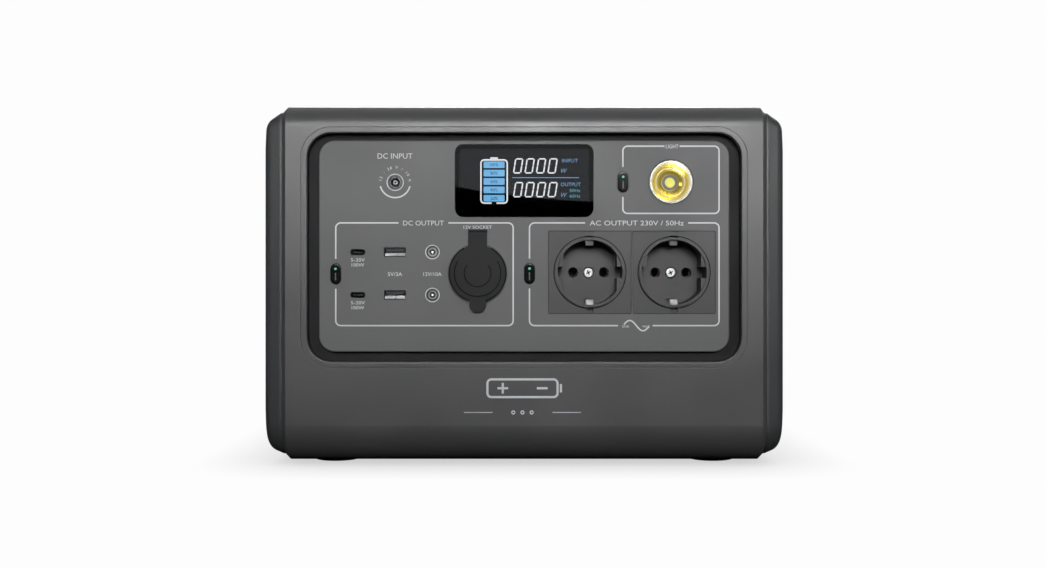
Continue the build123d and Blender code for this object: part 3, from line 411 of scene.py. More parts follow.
# %% Finished pieces
def piece(name, bm, body, paints, stands_for=(), soft=0.0):
    """Closes a drawing: makes the object, gives it its finishes, rides it on its body and hides the nodes it
    replaces.
    """
    bmesh.ops.recalc_face_normals(bm, faces=bm.faces)
    mesh = bpy.data.meshes.new(name)
    bm.to_mesh(mesh)
    bm.free()
    thing = bpy.data.objects.new(name, mesh)
    bpy.context.scene.collection.objects.link(thing)
    return dress(thing, body, paints, stands_for, soft)


def dress(thing, body, paints, stands_for=(), soft=0.0):
    """Gives an object its finishes, smooth shading up to 35 degrees, soft edges and its body."""
    painted = [face.material_index for face in thing.data.polygons]
    thing.data.materials.clear()
    for paint in paints:
        thing.data.materials.append(paint)
    thing.data.polygons.foreach_set("material_index", painted)
    thing.data.shade_smooth()
    thing.data.set_sharp_from_angle(angle=math.radians(35))
    if soft:
        bevel = thing.modifiers.new("soft_edges", "BEVEL")
        bevel.width = soft * mm
        bevel.segments = 2
        bevel.limit_method = "ANGLE"
        bevel.angle_limit = math.radians(40)
    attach(thing, body)
    if stands_for:
        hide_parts(*stands_for)
    return thing


print("helpers ready: prism, sleeve, piece, dress")

# %% [markdown]
# ## Geometry Nodes: strips along a path, shapes set out on points
# The printed frames are strips of ink that follow a path with constant width, and dots, ribs and
# contacts are one shape repeated at many places. Both follow a rule, so both are made by a node tree
# with named inputs. The result is turned into a plain mesh, so nothing stays live in the file.

# %% Node tree helpers
def new_tree(name, sockets):
    """A geometry tree with named inputs; gives the tree, its inputs and its output node."""
    tree = bpy.data.node_groups.new(name, "GeometryNodeTree")
    tree.interface.new_socket("Geometry", in_out="INPUT", socket_type="NodeSocketGeometry")
    for label, kind in sockets:
        tree.interface.new_socket(label, in_out="INPUT", socket_type=kind)
    tree.interface.new_socket("Geometry", in_out="OUTPUT", socket_type="NodeSocketGeometry")
    return tree, add(tree, "NodeGroupInput").outputs, add(tree, "NodeGroupOutput")


def close_tree(tree, geometry, finish, result):
    """Every tree ends the same way: real geometry with its material."""
    real = add(tree, "GeometryNodeRealizeInstances", {"Geometry": geometry})
    painted = add(tree, "GeometryNodeSetMaterial", {"Geometry": real.outputs[0], "Material": finish})
    tree.links.new(painted.outputs[0], result.inputs[0])


def run_tree(name, tree, points, edges, **inputs):
    """Runs a tree on points and edges (in metres) and gives the result as a plain mesh."""
    host_mesh = bpy.data.meshes.new(name)
    host_mesh.from_pydata(points, edges, [])
    host = bpy.data.objects.new(name + "_host", host_mesh)
    bpy.context.scene.collection.objects.link(host)
    modifier = host.modifiers.new("tree", "NODES")
    modifier.node_group = tree
    for item in tree.interface.items_tree:
        if item.in_out == "INPUT" and item.name.replace(" ", "_") in inputs:
            modifier[item.identifier] = inputs[item.name.replace(" ", "_")]
    ready = host.evaluated_get(bpy.context.evaluated_depsgraph_get())
    mesh = bpy.data.meshes.new_from_object(ready)
    mesh.name = name
    host.modifiers.remove(modifier)
    bpy.data.objects.remove(host)
    return mesh


# %% Tree for printed strips
strip_tree, given, result = new_tree("printed_strip", [
    ("Width", "NodeSocketFloat"), ("Film", "NodeSocketFloat"), ("Finish", "NodeSocketMaterial")])
path = add(strip_tree, "GeometryNodeMeshToCurve", {"Mesh": given["Geometry"]})
level = add(strip_tree, "GeometryNodeSetCurveNormal", {"Curve": path.outputs[0]}, mode="Z_UP")
section = add(strip_tree, "GeometryNodeCurvePrimitiveQuadrilateral",
              {"Width": given["Width"], "Height": given["Film"]})
strip = add(strip_tree, "GeometryNodeCurveToMesh",
            {"Curve": level.outputs[0], "Profile Curve": section.outputs[0], "Fill Caps": True})
close_tree(strip_tree, strip.outputs[0], given["Finish"], result)
print("tree", strip_tree.name, "with", len(strip_tree.nodes), "nodes")

# %% Tree that sets shapes out on points
set_out_tree, given, result = new_tree("set_out", [
    ("Shape", "NodeSocketObject"), ("Finish", "NodeSocketMaterial")])
shape = add(set_out_tree, "GeometryNodeObjectInfo", {"Object": given["Shape"], "As Instance": True})
placed = add(set_out_tree, "GeometryNodeInstanceOnPoints",
             {"Points": given["Geometry"], "Instance": shape.outputs["Geometry"]})
close_tree(set_out_tree, placed.outputs[0], given["Finish"], result)
print("tree", set_out_tree.name, "with", len(set_out_tree.nodes), "nodes")


# %% Shapes to repeat
def template(name, bm, smooth=True):
    """A shape for the node tree to repeat."""
    bmesh.ops.recalc_face_normals(bm, faces=bm.faces)
    mesh = bpy.data.meshes.new(name)
    bm.to_mesh(mesh)
    bm.free()
    if smooth:
        mesh.shade_smooth()
    one = bpy.data.objects.new(name, mesh)
    bpy.context.scene.collection.objects.link(one)
    return one


def repeated(name, one, points, body, finish):
    """The shape at every point (in mm) as one plain piece."""
    places = [tuple(v * mm for v in point) for point in points]
    grown = run_tree(name, set_out_tree, places, [], Shape=one, Finish=finish)
    bpy.data.objects.remove(one)
    thing = bpy.data.objects.new(name, grown)
    bpy.context.scene.collection.objects.link(thing)
    return dress(thing, body, [finish])


print("a template is set out on points and becomes one plain piece")

# %% [markdown]
# ## Printing on the panel
# The frames, rings and words are pad printed: a film of white ink about 0.02 mm thick, matt and very
# slightly uneven. The frames are strips that follow a rounded rectangle and stop where a word or a
# button interrupts them. Words are set in a plain typeface and only name the function.

# %% Ink finishes
def ink(name, tone, roughness=0.5):
    """Pad-printed ink: even, matt, a little thinner here and there."""
    return grained(name, tone, roughness, 0.8, 0.004, 0.04, 0.04)


white_ink = ink("white_pad_print", "#b2b4b6")
grey_ink = ink("grey_pad_print", "#8b8e91")
# Faint grey ink for the painted sheen on the buttons.
painted_sheen_ink = ink("faint_button_print", "#3a3c3e")
# Black film for painted shade in joints, grooves and slots.
painted_shade_ink = grained("black_joint_line", "#050505", 0.7, 0.8, 0.002, 0.04, 0.04, Specular_IOR_Level=0.05)
panel_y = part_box("control_panel")[0][1] / mm
print("panel face at y", round(panel_y, 2), "mm")


# %% Paths for frames
def broken_frame(x0, x1, z0, z1, radius, gaps):
    """A rounded rectangle as separate runs, left open over the gaps given for its sides."""
    runs = []
    sides = {"top": (x0 + radius, x1 - radius), "bottom": (x0 + radius, x1 - radius),
             "left": (z0 + radius, z1 - radius), "right": (z0 + radius, z1 - radius)}
    for side, (low, high) in sides.items():
        cut = gaps.get(side)
        for a, b in ([(low, cut[0]), (cut[1], high)] if cut else [(low, high)]):
            fixed = {"top": z1, "bottom": z0, "left": x0, "right": x1}[side]
            runs.append([(a, fixed), (b, fixed)] if side in ("top", "bottom") else [(fixed, a), (fixed, b)])
    for quarter, (cx, cz) in enumerate(((x1 - radius, z1 - radius), (x0 + radius, z1 - radius),
                                        (x0 + radius, z0 + radius), (x1 - radius, z0 + radius))):
        runs.append(arc_run((cx, cz), radius, 90 * quarter, 90 * quarter + 90, 8))
    return runs


def arc_run(at, radius, start, end, steps=24):
    """Part of a circle as one run, angles in degrees from +x."""
    angles = [math.radians(start + (end - start) * i / steps) for i in range(steps + 1)]
    return [(at[0] + radius * math.cos(a), at[1] + radius * math.sin(a)) for a in angles]


# %% Strips and letters as meshes on a plane
def stand_up(mesh, y):
    """Turns a drawing in the x-y plane to face the front, at depth y in mm."""
    mesh.transform(Matrix.Translation((0, y * mm, 0)) @ Matrix.Rotation(math.radians(90), 4, "X"))
    return mesh


def strips(name, runs, width, y, finish):
    """Ink strips along runs of (x, z) points in mm."""
    points, edges = [], []
    for run in runs:
        first = len(points)
        points += [(x * mm, z * mm, 0) for x, z in run]
        edges += [(first + i, first + i + 1) for i in range(len(run) - 1)]
    mesh = run_tree(name, strip_tree, points, edges, Width=width * mm, Film=0.03 * mm, Finish=finish)
    return stand_up(mesh, y)


def letters(text, at, cap, y, width=None, lean=0.0, turn=0.0, weight=0.0):
    """Words as a flat mesh: centre (x, z), height of a capital, and the width to fit, in mm."""
    font = bpy.data.curves.new("letters", "FONT")
    font.body = text
    font.align_x = "CENTER"
    font.shear = lean
    font.offset = weight
    font.resolution_u = 3
    thing = bpy.data.objects.new("letters", font)
    bpy.context.scene.collection.objects.link(thing)
    mesh = bpy.data.meshes.new_from_object(thing.evaluated_get(bpy.context.evaluated_depsgraph_get()))
    bpy.data.objects.remove(thing)
    xs = [v.co.x for v in mesh.vertices]
    tall = cap / 0.72
    wide = width / (max(xs) - min(xs)) if width else tall
    middle = (max(xs) + min(xs)) / 2
    mesh.transform(Matrix.Diagonal((wide * mm, tall * mm, 1, 1)) @ Matrix.Translation((-middle, -0.36, 0)))
    turned_mesh = Matrix.Rotation(math.radians(turn), 4, "Z")
    mesh.transform(Matrix.Translation((at[0] * mm, at[1] * mm, 0)) @ turned_mesh)
    return stand_up(mesh, y)


def joined(name, meshes, body, finish):
    """Several flat drawings as one piece of print."""
    bm = bmesh.new()
    for mesh in meshes:
        bm.from_mesh(mesh)
    mesh = bpy.data.meshes.new(name)
    bm.to_mesh(mesh)
    bm.free()
    thing = bpy.data.objects.new(name, mesh)
    bpy.context.scene.collection.objects.link(thing)
    for face in mesh.polygons:
        face.material_index = 0
    return dress(thing, body, [finish])


# %% Centres of the things on the panel
def centre(name):
    """The middle of a node as (x, z) in mm."""
    low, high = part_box(name)
    return ((low[0] + high[0]) / 2 / mm, (low[2] + high[2]) / 2 / mm)


dc_at, ac_at, light_at = centre("dc_button"), centre("ac_button"), centre("light_button")
lamp_at, inlet_at = centre("lamp_lens"), centre("input_jack")
jack_low, jack_high = (v / mm for v in (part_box("dc_jacks")[0][2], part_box("dc_jacks")[1][2]))
jacks_at = [(centre("dc_jacks")[0], jack_low + 3.5), (centre("dc_jacks")[0], jack_high - 3.5)]
print("buttons at", [tuple(round(v, 1) for v in at) for at in (dc_at, ac_at, light_at)])

# %% Frames and rings
ink_y = panel_y - 0.03
half_gap = 9


def beside(button):
    """The gap that a button makes in the left side of its frame."""
    return button[1] - half_gap, button[1] + half_gap


frames = broken_frame(-113.2, -6.6, 84.9, 146.6, 3.0, {"top": (-75.5, -45.5), "left": beside(dc_at)})
frames += broken_frame(3.2, 117.1, 84.9, 146.6, 3.0,
                       {"top": (36.6, 98.6), "bottom": (56.4, 77.2), "left": beside(ac_at)})
frames += broken_frame(59.3, 117.1, 152.3, 192.7, 2.8, {"top": (84.3, 93.4), "left": beside(light_at)})
frames.append([(59.4 + 0.5 * i, 84.9 + 3.1 * math.sin(2 * math.pi * i / 32)) for i in range(1, 32)])
rings = [arc_run(at, 4.1, 0, 360, 40) for at in jacks_at] + [arc_run(inlet_at, 4.9, 0, 360, 40)]
drawings = [strips("frames", frames, 0.85, ink_y, white_ink), strips("rings", rings, 0.5, ink_y, white_ink),
            strips("inlet_arc", [arc_run(inlet_at, 9.2, 195, 345)], 0.85, ink_y, white_ink)]
print("ink strips:", [len(drawing.polygons) for drawing in drawings], "faces")

# %% Words
words = [
    ("DC OUTPUT", (-60.5, 146.6), 3.0, 24.5), ("AC OUTPUT 230V / 50Hz", (67.6, 146.6), 3.0, 56.5),
    ("LIGHT", (88.9, 192.6), 2.3, 7.6), ("DC INPUT", (-77.6, 186.9), 3.3, 21.0),
    ("5V/3A", (-77.6, 115.9), 2.3, 8.6), ("12V/10A", (-55.1, 115.9), 2.3, 11.0),
    ("12V SOCKET", (-27.9, 144.1), 1.9, 17.0),
    ("SINE", (60.9, 84.4), 1.4, 4.2), ("WAVE", (73.2, 84.4), 1.4, 4.6),
]
for z in (129.0, 103.3):
    words += [("5-20V", (-99.9, z - 4.6), 2.1, 8.4), ("100W", (-99.9, z - 7.6), 2.1, 7.6)]
drawings += [letters(text, at, cap, ink_y, width) for text, at, cap, width in words]
around = "12 - 28 V / 10 A"
label_radius = 9.0
for i, sign in enumerate(around):
    angle = 172 - 164 * i / (len(around) - 1)
    turned_by = math.radians(angle)
    if sign != " ":
        at = (inlet_at[0] + label_radius * math.cos(turned_by),
              inlet_at[1] + label_radius * math.sin(turned_by))
        drawings.append(letters(sign, at, 1.7, ink_y, turn=angle - 90))
print(len(words), "labels")

# %% One piece of print
joined("panel_print", drawings, "case", white_ink)

# %% [markdown]
# Shade falls where a raised rim meets its plate, along the plate edges, in the cross of each screw,
# in the grooves of the rubber cap and round its disc. Fine black lines paint that shade, so the joints
# read as they do on the real sockets.

# %% Joint lines of painted shade
def face_depth(name, x, z):
    """How far forward a node's surface is at a place seen from the front, as y in mm."""
    return nodes[name].ray_cast(Vector((x * mm, -0.3, z * mm)), Vector((0, 1, 0)))[1].y / mm


half_plate, half_cross = 24.85, 1.5
lines = []
for name in ("mains_socket_left", "mains_socket_right"):
    at = centre(name)
    plate_y = face_depth(name, at[0] + 23.4, at[1] + 23.0)
    screw_y = face_depth("socket_screws", at[0] + 1.9, at[1])
    edge = broken_frame(at[0] - half_plate, at[0] + half_plate, at[1] - half_plate, at[1] + half_plate, 0.6, {})
    cross = [[arc_run(at, half_cross, angle, angle + 180, 1)[end] for end in (0, 1)] for angle in (28, 118)]
    # Painted shade: black lines at the foot of the rim, along the plate's edge and in the screw's cross.
    lines += [strips(name + "_rim", [arc_run(at, 21.7, 0, 360, 90)], 0.5, plate_y - 0.02, painted_shade_ink),
              strips(name + "_edge", edge, 0.3, plate_y - 0.02, painted_shade_ink),
              strips(name + "_cross", cross, 0.55, screw_y - 0.02, painted_shade_ink)]
    print(name, "plate at y", round(plate_y, 2), "and screw at y", round(screw_y, 2), "mm")
joined("socket_joint_lines", lines, "case", painted_shade_ink)
cap_low, cap_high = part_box("car_socket_cap")
cap_at = ((cap_low[0] + cap_high[0]) / 2 / mm, 116.3)
cap_face = face_depth("car_socket_cap", *cap_at)
print("face of the cap at y", round(cap_face, 2), "mm")
# Painted shade: black lines in the cap's grooves and round the edge of its disc.
grooves = [arc_run(cap_at, 13.9, 148, 392, 60), arc_run(cap_at, 8.0, 142, 398, 40)]
cap_lines = [strips("cap_grooves", grooves, 0.5, cap_face - 0.02, painted_shade_ink),
             strips("cap_edge", [arc_run(cap_at, 17.0, 118, 422, 90)], 0.7, cap_face - 0.02, painted_shade_ink)]
joined("cap_joint_lines", cap_lines, "cap", painted_shade_ink)
print("joint lines drawn")

# %% [markdown]
# ## A plain battery sign on the front
# The lower front carries a printed sign between two fine lines. Here it is a neutral pictogram: a
# battery outline with a plus and a minus, drawn with the same strips as the frames.

# %% Battery sign
sign_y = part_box("front_shell")[0][1] / mm - 0.04
body_runs = broken_frame(-22.0, 20.0, 42.2, 52.8, 2.4, {}) + [[(22.0, 45.0), (22.0, 50.0)]]
marks = [[(-16.0, 47.5), (-9.6, 47.5)], [(-12.8, 44.3), (-12.8, 50.7)], [(7.6, 47.5), (14.0, 47.5)]]
fine_lines = [[(-36.0, 33.0), (-19.0, 33.0)], [(17.0, 33.0), (34.0, 33.0)]]
dots = [arc_run((x, 33.0), 0.9, 0, 360, 16) for x in (-6.5, -1.0, 4.5)]
sign = [strips("sign_body", body_runs, 1.3, sign_y, white_ink),
        strips("sign_marks", marks, 1.3, sign_y, white_ink),
        strips("sign_lines", fine_lines, 0.45, sign_y, grey_ink),
        strips("sign_dots", dots, 0.7, sign_y, grey_ink)]
joined("front_sign", sign, "case", white_ink)
print("sign at z 47.5 mm")

# %% [markdown]
# ## The display
# Behind the smoked window lies a colour segment display. Only the segments shine, so each is a flat
# shape with its own glow on a black field: a battery gauge with five bars, two rows of four leaning
# figures, their units, and the words for input and output.

# %% Glowing inks
def glow(name, tone, strength):
    """A lit segment: colour by emission, with a faint unevenness of the backlight."""
    material, tree, shader, place = start_finish(name, Base_Color=linear("#050607"), Roughness=0.4,
                                                 Emission_Strength=strength)
    cloud = add(tree, "ShaderNodeTexNoise", {"Vector": place, "Scale": 90.0, "Detail": 2.0})
    tint = add(tree, "ShaderNodeMix", {0: cloud.outputs["Fac"], 6: shaded(tone, 0.88),
                                       7: shaded(tone, 1.12)}, data_type="RGBA")
    tree.links.new(tint.outputs[2], shader.inputs["Emission Color"])
    return material


lit_white = glow("lit_segments_white", "#f3f2ee", 1.9)
lit_sky = glow("lit_segments_sky_blue", "#74c4f4", 1.55)
lit_blue = glow("lit_segments_blue", "#84b2da", 1.3)
lit_dim = glow("lit_segments_deep_blue", "#2a6a9c", 1.0)
lit_teal = glow("lit_segments_teal", "#5fc0c4", 1.3)
cell_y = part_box("display_module")[0][1] / mm - 0.03
print("segments at y", round(cell_y, 2), "mm")


# %% Seven-segment zero
def slanted(at, height, points):
    """Points of a figure, in its own upright box, leaned to the right and put in place."""
    return [(at[0] + x + 0.16 * (z - height / 2), at[1] + z) for x, z in points]


def zero(at, width, height, stroke):
    """The six lit bars of a zero: a run for each, a little short of the corners."""
    s, mid, gap = stroke / 2, height / 2, 0.35
    bars = [[(s + gap, s), (width - s - gap, s)], [(s + gap, height - s), (width - s - gap, height - s)]]
    for x in (s, width - s):
        bars += [[(x, s + gap), (x, mid - gap / 2)], [(x, mid + gap / 2), (x, height - s - gap)]]
    return [slanted(at, height, bar) for bar in bars]


figures = []
for row in (176.3, 162.0):
    for i in range(4):
        figures += zero((-6.2 + 6.9 * i, row), 5.2, 9.4, 0.95)
gauge = broken_frame(-26.0, -10.2, 158.6, 184.6, 2.0, {"bottom": (-19.6, -16.6)})
gauge.append([(-20.4, 185.7), (-15.8, 185.7)])
joined("display_white", [strips("figures", figures, 0.78, cell_y, lit_white),
                         strips("gauge", gauge, 0.85, cell_y, lit_white)], "case", lit_white)
print(len(figures), "bars in the figures")

# %% Gauge bars, units and words of the display
bars = bmesh.new()
bars_at = [(-18.1, 161.5 + 5.05 * i) for i in range(5)]
for at in bars_at:
    prism(bars, box_outline(at, 12.6, 4.0, 0.4, 2), cell_y, cell_y + 0.02)
piece("display_bars", bars, "case", [lit_sky])
percents = [letters(f"{20 * (i + 1)}%", at, 1.9, cell_y - 0.02, weight=0.01) for i, at in enumerate(bars_at)]
joined("display_percents", percents, "case", lit_dim)
blue = [letters("INPUT", (27.6, 184.2), 2.3, cell_y, 9.6), letters("OUTPUT", (28.0, 169.9), 2.3, cell_y, 12.0),
        letters("W", (24.0, 178.1), 2.7, cell_y, 3.6, 0.3), letters("W", (24.0, 163.6), 2.7, cell_y, 3.6, 0.3),
        strips("divider", [[(-7.2, 173.9), (33.0, 173.9)]], 0.45, cell_y, lit_blue)]
joined("display_blue", blue, "case", lit_blue)
teal = [letters("50Hz", (30.6, 166.2), 1.9, cell_y, 6.4), letters("60Hz", (30.6, 162.9), 1.9, cell_y, 6.4)]
joined("display_teal", teal, "case", lit_teal)
print("display drawn")

# %% [markdown]
# ## Indicator lights on the buttons
# Each button is a glossy black pill with a small green light above its middle and a faint grey
# stroke below it, which paints the sheen of the gloss. They move in and out with the button, so they ride on
# the button's own body.

# %% Indicators
green_light = glow("green_indicator", "#3fc493", 0.9)
proud = 0.06
for body, name, at in (("dc_push", "dc", dc_at), ("ac_push", "ac", ac_at), ("light_push", "light", light_at)):
    face_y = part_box(name + "_button")[0][1] / mm
    lens_drawing = bmesh.new()
    prism(lens_drawing, circle((at[0], at[1] + 3.0), 0.75, 20), face_y - proud, face_y + 0.3)
    piece(name + "_indicator", lens_drawing, body, [green_light], soft=0.03)
    run = [(at[0], at[1] - 3.9), (at[0], at[1] + 0.6)]
    # Painted highlight: a faint grey stroke down the face stands in for the sheen of the gloss.
    stroke = strips(name + "_stroke", [run], 0.7, face_y - 0.03, painted_sheen_ink)
    joined(name + "_stroke", [stroke], body, painted_sheen_ink)
print("indicators stand", proud, "mm proud")

# %% [markdown]
# ## Ports
# A port is a folded and plated steel shell with a moulded tongue that carries gold-plated contacts.
# The solid model only had the shell and a plain tongue, so these pieces stand in for it: the shell
# gets round corners and a dark tone that is painted shade for the inside of the port, the tongue is
# black nylon, and the contacts are set out by the node tree.

# %% Finishes of the ports
port_shell = metal("tin_plated_steel_spring", "#6f7072", 0.5, depth=0.0, drift=0.03)
port_tongue = grained("moulded_lcp_tongue", "#070708", 0.6, 0.6, 0.004)
# Painted shade: the dark tone of the port shells stands in for the shade inside the ports.
painted_shade_port_shell = metal("blackened_port_shell", "#2c2d2f", 0.5, depth=0.0)
gold = metal("gold_flash_on_contacts", "#d9b25a", 0.25)


def contacts(name, places, size, at_y):
    """Thin gold strips, one on each place, from one shape set out on points."""
    strip_bm = bmesh.new()
    prism(strip_bm, box_outline((0, 0), size[0], size[1], 0.08, 1), 0, size[2])
    return repeated(name, template(name + "_shape", strip_bm, False), [(x, at_y, z) for x, z in places],
                    "case", gold)


# %% Two rectangular ports
def port_places(name, count_height):
    """The centres of the two ports of a node, lower one last."""
    low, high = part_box(name)
    x = (low[0] + high[0]) / 2 / mm
    return [(x, high[2] / mm - count_height / 2), (x, low[2] / mm + count_height / 2)]


usb_a_at = port_places("usb_a_ports", 5.4)
shell_front, board_y = panel_y + 0.3, -90.0
bm = bmesh.new()
for x, z in usb_a_at:
    outer, inner = box_outline((x, z), 13.0, 5.4, 0.7), box_outline((x, z), 12.3, 4.7, 0.35)
    sleeve(bm, outer, inner, shell_front, board_y, 2)
    prism(bm, box_outline((x, z), 12.6, 5.0, 0.3), board_y - 3, board_y, 2)
    prism(bm, box_outline((x, z + 1.2), 11.2, 1.9, 0.15), shell_front + 0.6, board_y - 3, 1)
    for side in (-1, 1):
        near, far = x + side * 0.06, x + side * 6.1
        ramp = [(shell_front + 0.1, z - 2.3), (shell_front + 0.5, z - 0.35), (shell_front + 4.0, z - 0.9),
                (shell_front + 8.0, z - 2.3)]
        ends = [[bm.verts.new((end * mm, y * mm, h * mm)) for y, h in ramp] for end in (near, far)]
        bm.faces.new(ends[0])
        bm.faces.new(ends[1][::-1])
        for i in range(4):
            bm.faces.new((ends[0][i - 1], ends[0][i], ends[1][i], ends[1][i - 1]))
piece("usb_a_detail", bm, "case", [port_shell, port_tongue, painted_shade_port_shell], ["usb_a_ports"], soft=0.08)
four = [(x + dx, z + 0.2) for x, z in usb_a_at for dx in (-3.5, -1, 1, 3.5)]
contacts("usb_a_contacts", four, (1.0, 0.12, 7), shell_front + 5.4)

# %% Two round-ended ports
usb_c_at = port_places("usb_c_ports", 3.26)
bm = bmesh.new()
for x, z in usb_c_at:
    outer, inner = box_outline((x, z), 8.94, 3.26, 1.62), box_outline((x, z), 8.34, 2.66, 1.32)
    sleeve(bm, outer, inner, shell_front, board_y)
    prism(bm, box_outline((x, z), 8.6, 2.9, 1.44), board_y - 3, board_y)
    prism(bm, box_outline((x, z), 6.7, 0.7, 0.2), shell_front + 1.1, board_y - 3, 1)
piece("usb_c_detail", bm, "case", [painted_shade_port_shell, port_tongue], ["usb_c_ports"], soft=0.08)
rows = [(x + 0.5 * (i - 5.5), z + side * 0.38) for x, z in usb_c_at for i in range(12) for side in (-1, 1)]
contacts("usb_c_contacts", rows, (0.26, 0.06, 3.5), shell_front + 1.6)
print("ports at", usb_a_at, usb_c_at)

# %% Barrel jacks and charging inlet
grey_metal = metal("sintered_spring_contact", "#77787a", 0.5, depth=0.0)
bm = bmesh.new()
for at in jacks_at:
    sleeve(bm, circle(at, 3.5), circle(at, 2.8), panel_y - 0.1, board_y, 0)
    prism(bm, circle(at, 3.5), board_y - 4, board_y, 0)
    sleeve(bm, circle(at, 2.75), circle(at, 1.75), panel_y + 0.8, board_y - 4, 1)
    prism(bm, circle(at, 0.75, 24), panel_y + 0.4, board_y - 4, 2)
piece("dc_jack_detail", bm, "case", [finishes["black_plastic"], grey_metal, finishes["nickel"]],
      ["dc_jacks"], soft=0.12)
bm = bmesh.new()
sleeve(bm, circle(inlet_at, 4.1), circle(inlet_at, 3.2), panel_y - 0.1, board_y - 3, 0)
sleeve(bm, circle(inlet_at, 6.0), circle(inlet_at, 4.1), panel_y + 3.0, board_y, 0)
prism(bm, circle(inlet_at, 4.1), board_y - 3, board_y, 0)
sleeve(bm, circle(inlet_at, 3.15), circle(inlet_at, 2.7), panel_y + 0.8, board_y - 3, 1)
sleeve(bm, circle(inlet_at, 1.5, 24), circle(inlet_at, 0.6, 24), panel_y + 1.2, board_y - 3, 1)
piece("input_jack_detail", bm, "case", [finishes["black_plastic"], grey_metal],
      ["input_jack"], soft=0.12)
print("round connectors drawn")

# %% [markdown]
# ## The lamp's mirror
# The bowl is moulded and aluminised inside. It is not one smooth curve: rings with slightly different
# slopes spread the beam, and each ring catches the lights differently. The bowl is a profile that is
# turned round the lamp's axis. Its rings of gold and white are painted reflections: a colour by distance
# from the axis, in the base colour and as a faint glow, stands in for the phosphor and lights it mirrors.

# %% Turned profile
def turned(bm, at, profile, count=72, paint=0):
    """Turns a closed (radius, y) profile round an axis along y through at."""
    rows = [[bm.verts.new(((at[0] + r * math.cos(2 * math.pi * i / count)) * mm, y * mm,
                           (at[1] + r * math.sin(2 * math.pi * i / count)) * mm)) for i in range(count)]
            for r, y in profile]
    for k, row in enumerate(rows):
        other = rows[(k + 1) % len(rows)]
        for i in range(count):
            bm.faces.new((row[i], row[i - 1], other[i - 1], other[i])).material_index = paint


def mirror_with_painted_reflections():
    """Aluminised plastic with painted reflections: gold and white rings by distance from the axis, also
    glowing.
    """
    material, tree, shader, place = start_finish("aluminised_reflector", Metallic=1.0, Roughness=0.16)
    middle = add(tree, "ShaderNodeMapping", {
        "Vector": place, "Location": (-lamp_at[0] * mm, 0, -lamp_at[1] * mm), "Scale": (1, 0, 1)})
    away = add(tree, "ShaderNodeVectorMath", {0: middle.outputs[0]}, operation="LENGTH")
    part = add(tree, "ShaderNodeMapRange", {"Value": away.outputs["Value"], "From Min": 4.5 * mm,
                                            "From Max": 12.5 * mm})
    painted_reflection_rings = add(tree, "ShaderNodeValToRGB", {"Fac": part.outputs[0]})
    # Painted reflections: white rings for highlights, gold rings for the mirrored phosphor.
    reflection_tones = [(0.0, "#8f8c90"), (0.08, "#a79f63"), (0.30, "#bda536"), (0.46, "#d8c778"), (0.53, "#fffef4"),
             (0.62, "#d9bb45"), (0.78, "#ecd988"), (0.90, "#fffef6")]
    for _ in range(len(reflection_tones) - 2):
        painted_reflection_rings.color_ramp.elements.new(0.5)
    for element, (where, code) in zip(painted_reflection_rings.color_ramp.elements, reflection_tones):
        element.position = where
        element.color = linear(code)
    tree.links.new(painted_reflection_rings.outputs[0], shader.inputs["Base Color"])
    # The rings glow as well: painted reflection on a part that is no lamp.
    tree.links.new(painted_reflection_rings.outputs[0], shader.inputs["Emission Color"])
    shader.inputs["Emission Strength"].default_value = 0.40
    return material


front = panel_y + 0.9
depth = 7.0
bowl = [(12.8, front), (12.8, front + 1.2), (9.6, front + 5.0), (6.2, front + depth), (4.9, front + depth),
        (5.2, front + 6.2), (6.6, front + 5.3), (8.4, front + 4.2), (8.8, front + 3.4), (10.4, front + 1.8),
        (12.0, front)]
bm = bmesh.new()
turned(bm, lamp_at, bowl)
piece("lamp_mirror", bm, "case", [mirror_with_painted_reflections()], ["lamp_reflector"], soft=0.08)
chip_y = face_depth("lamp_emitter", *lamp_at)
bm = bmesh.new()
sleeve(bm, circle(lamp_at, 4.8), circle(lamp_at, 3.1), chip_y - 0.35, chip_y + 0.1)
alumina = grained("glazed_alumina_substrate", "#8f8a99", 0.4, 0.8, 0.002)
piece("lamp_substrate", bm, "case", [alumina])
print("face of the emitter at y", round(chip_y, 2), "mm")
print("mirror is", depth, "mm deep")

# %% [markdown]
# ## Grip ribs on the handle and dots on the charging mat
# Fingers need ribs under the grip, and a phone needs a surface that does not slide: the mat has a
# field of low dots. Both are one small shape set out on points by the node tree.

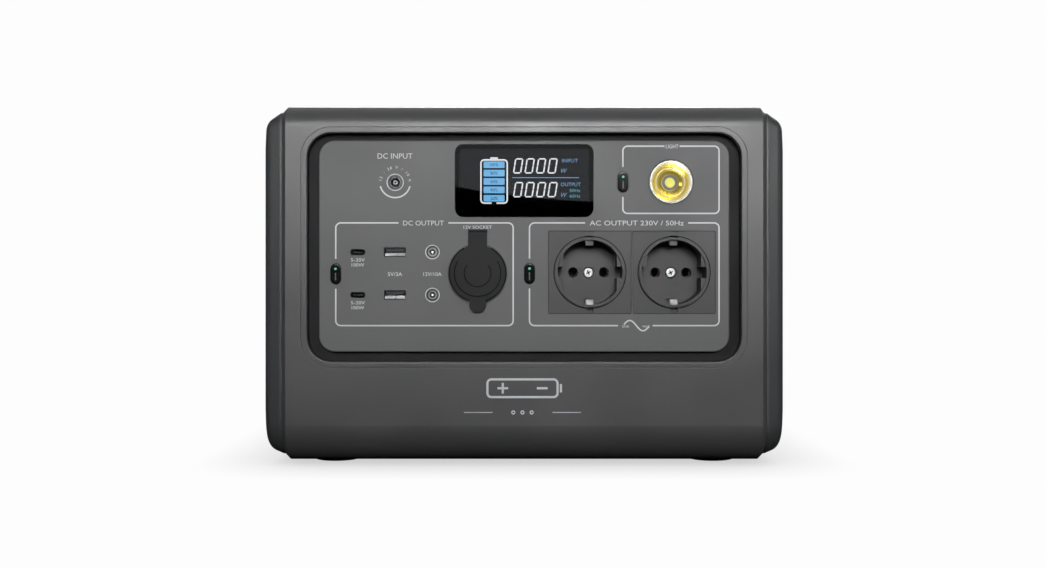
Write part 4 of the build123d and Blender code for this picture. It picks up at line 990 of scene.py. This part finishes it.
# %% Dots of the mat
mat_low, mat_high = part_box("charging_mat")
top = mat_high[2] / mm
low_dot = bmesh.new()
rim, crown = [[low_dot.verts.new((x * mm, y * mm, height * mm)) for x, y in circle((0, 0), radius, 8)]
              for radius, height in ((0.75, -0.05), (0.4, 0.22))]
low_dot.faces.new(crown)
low_dot.faces.new(rim[::-1])
for i in range(8):
    low_dot.faces.new((rim[i - 1], rim[i], crown[i], crown[i - 1]))
x0, x1, y0, y1 = (v / mm for v in (mat_low[0], mat_high[0], mat_low[1], mat_high[1]))
mid_x, mid_y = (x0 + x1) / 2, (y0 + y1) / 2
grid = []
for row in range(12):
    for column in range(34):
        x, y = x0 + 5.2 + 3.05 * column + (1.5 if row % 2 else 0), y0 + 4.2 + 3.4 * row
        corner = (max(abs(x - mid_x) - (x1 - x0) / 2 + 12, 0), max(abs(y - mid_y) - (y1 - y0) / 2 + 12, 0))
        if math.hypot(*corner) < 9.5 and x < x1 - 4 and math.hypot(x, y - mid_y) > 17.5:
            grid.append((x, y, top))
repeated("mat_dots", template("mat_dot", low_dot), grid, "case", finishes["rubber"])
print(len(grid), "dots on the mat")

# %% Ring on the mat
ring = strips("mat_ring", [arc_run((0, mid_y), 15.5, 0, 360, 64)], 0.8, 0, grey_ink)
ring.transform(Matrix.Translation((0, 0, (top + 0.03) * mm)) @ Matrix.Rotation(math.radians(-90), 4, "X"))
joined("mat_print", [ring], "case", grey_ink)

# %% Ribs of the grip
grip_low, grip_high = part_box("handle")
rib = bmesh.new()
rib_section = [(-0.7, -0.25), (0.7, -0.25), (0.45, 0.25), (-0.45, 0.25)]
ends = [[rib.verts.new((x * mm, y * mm, z * mm)) for x, z in rib_section] for y in (-4.6, 4.6)]
rib.faces.new(ends[0])
rib.faces.new(ends[1][::-1])
for i in range(4):
    rib.faces.new((ends[0][i - 1], ends[0][i], ends[1][i], ends[1][i - 1]))
grip_y = grip_low[1] / mm + 9.0
grip_top = grip_high[2] / mm - 0.25
ribs_at = [(-56 + 4 * i, grip_y, grip_top - 0.22) for i in range(29)]
repeated("grip_ribs", template("grip_rib", rib), ribs_at, "handle", finishes["shell_plastic"])
print(len(ribs_at), "ribs on the grip")
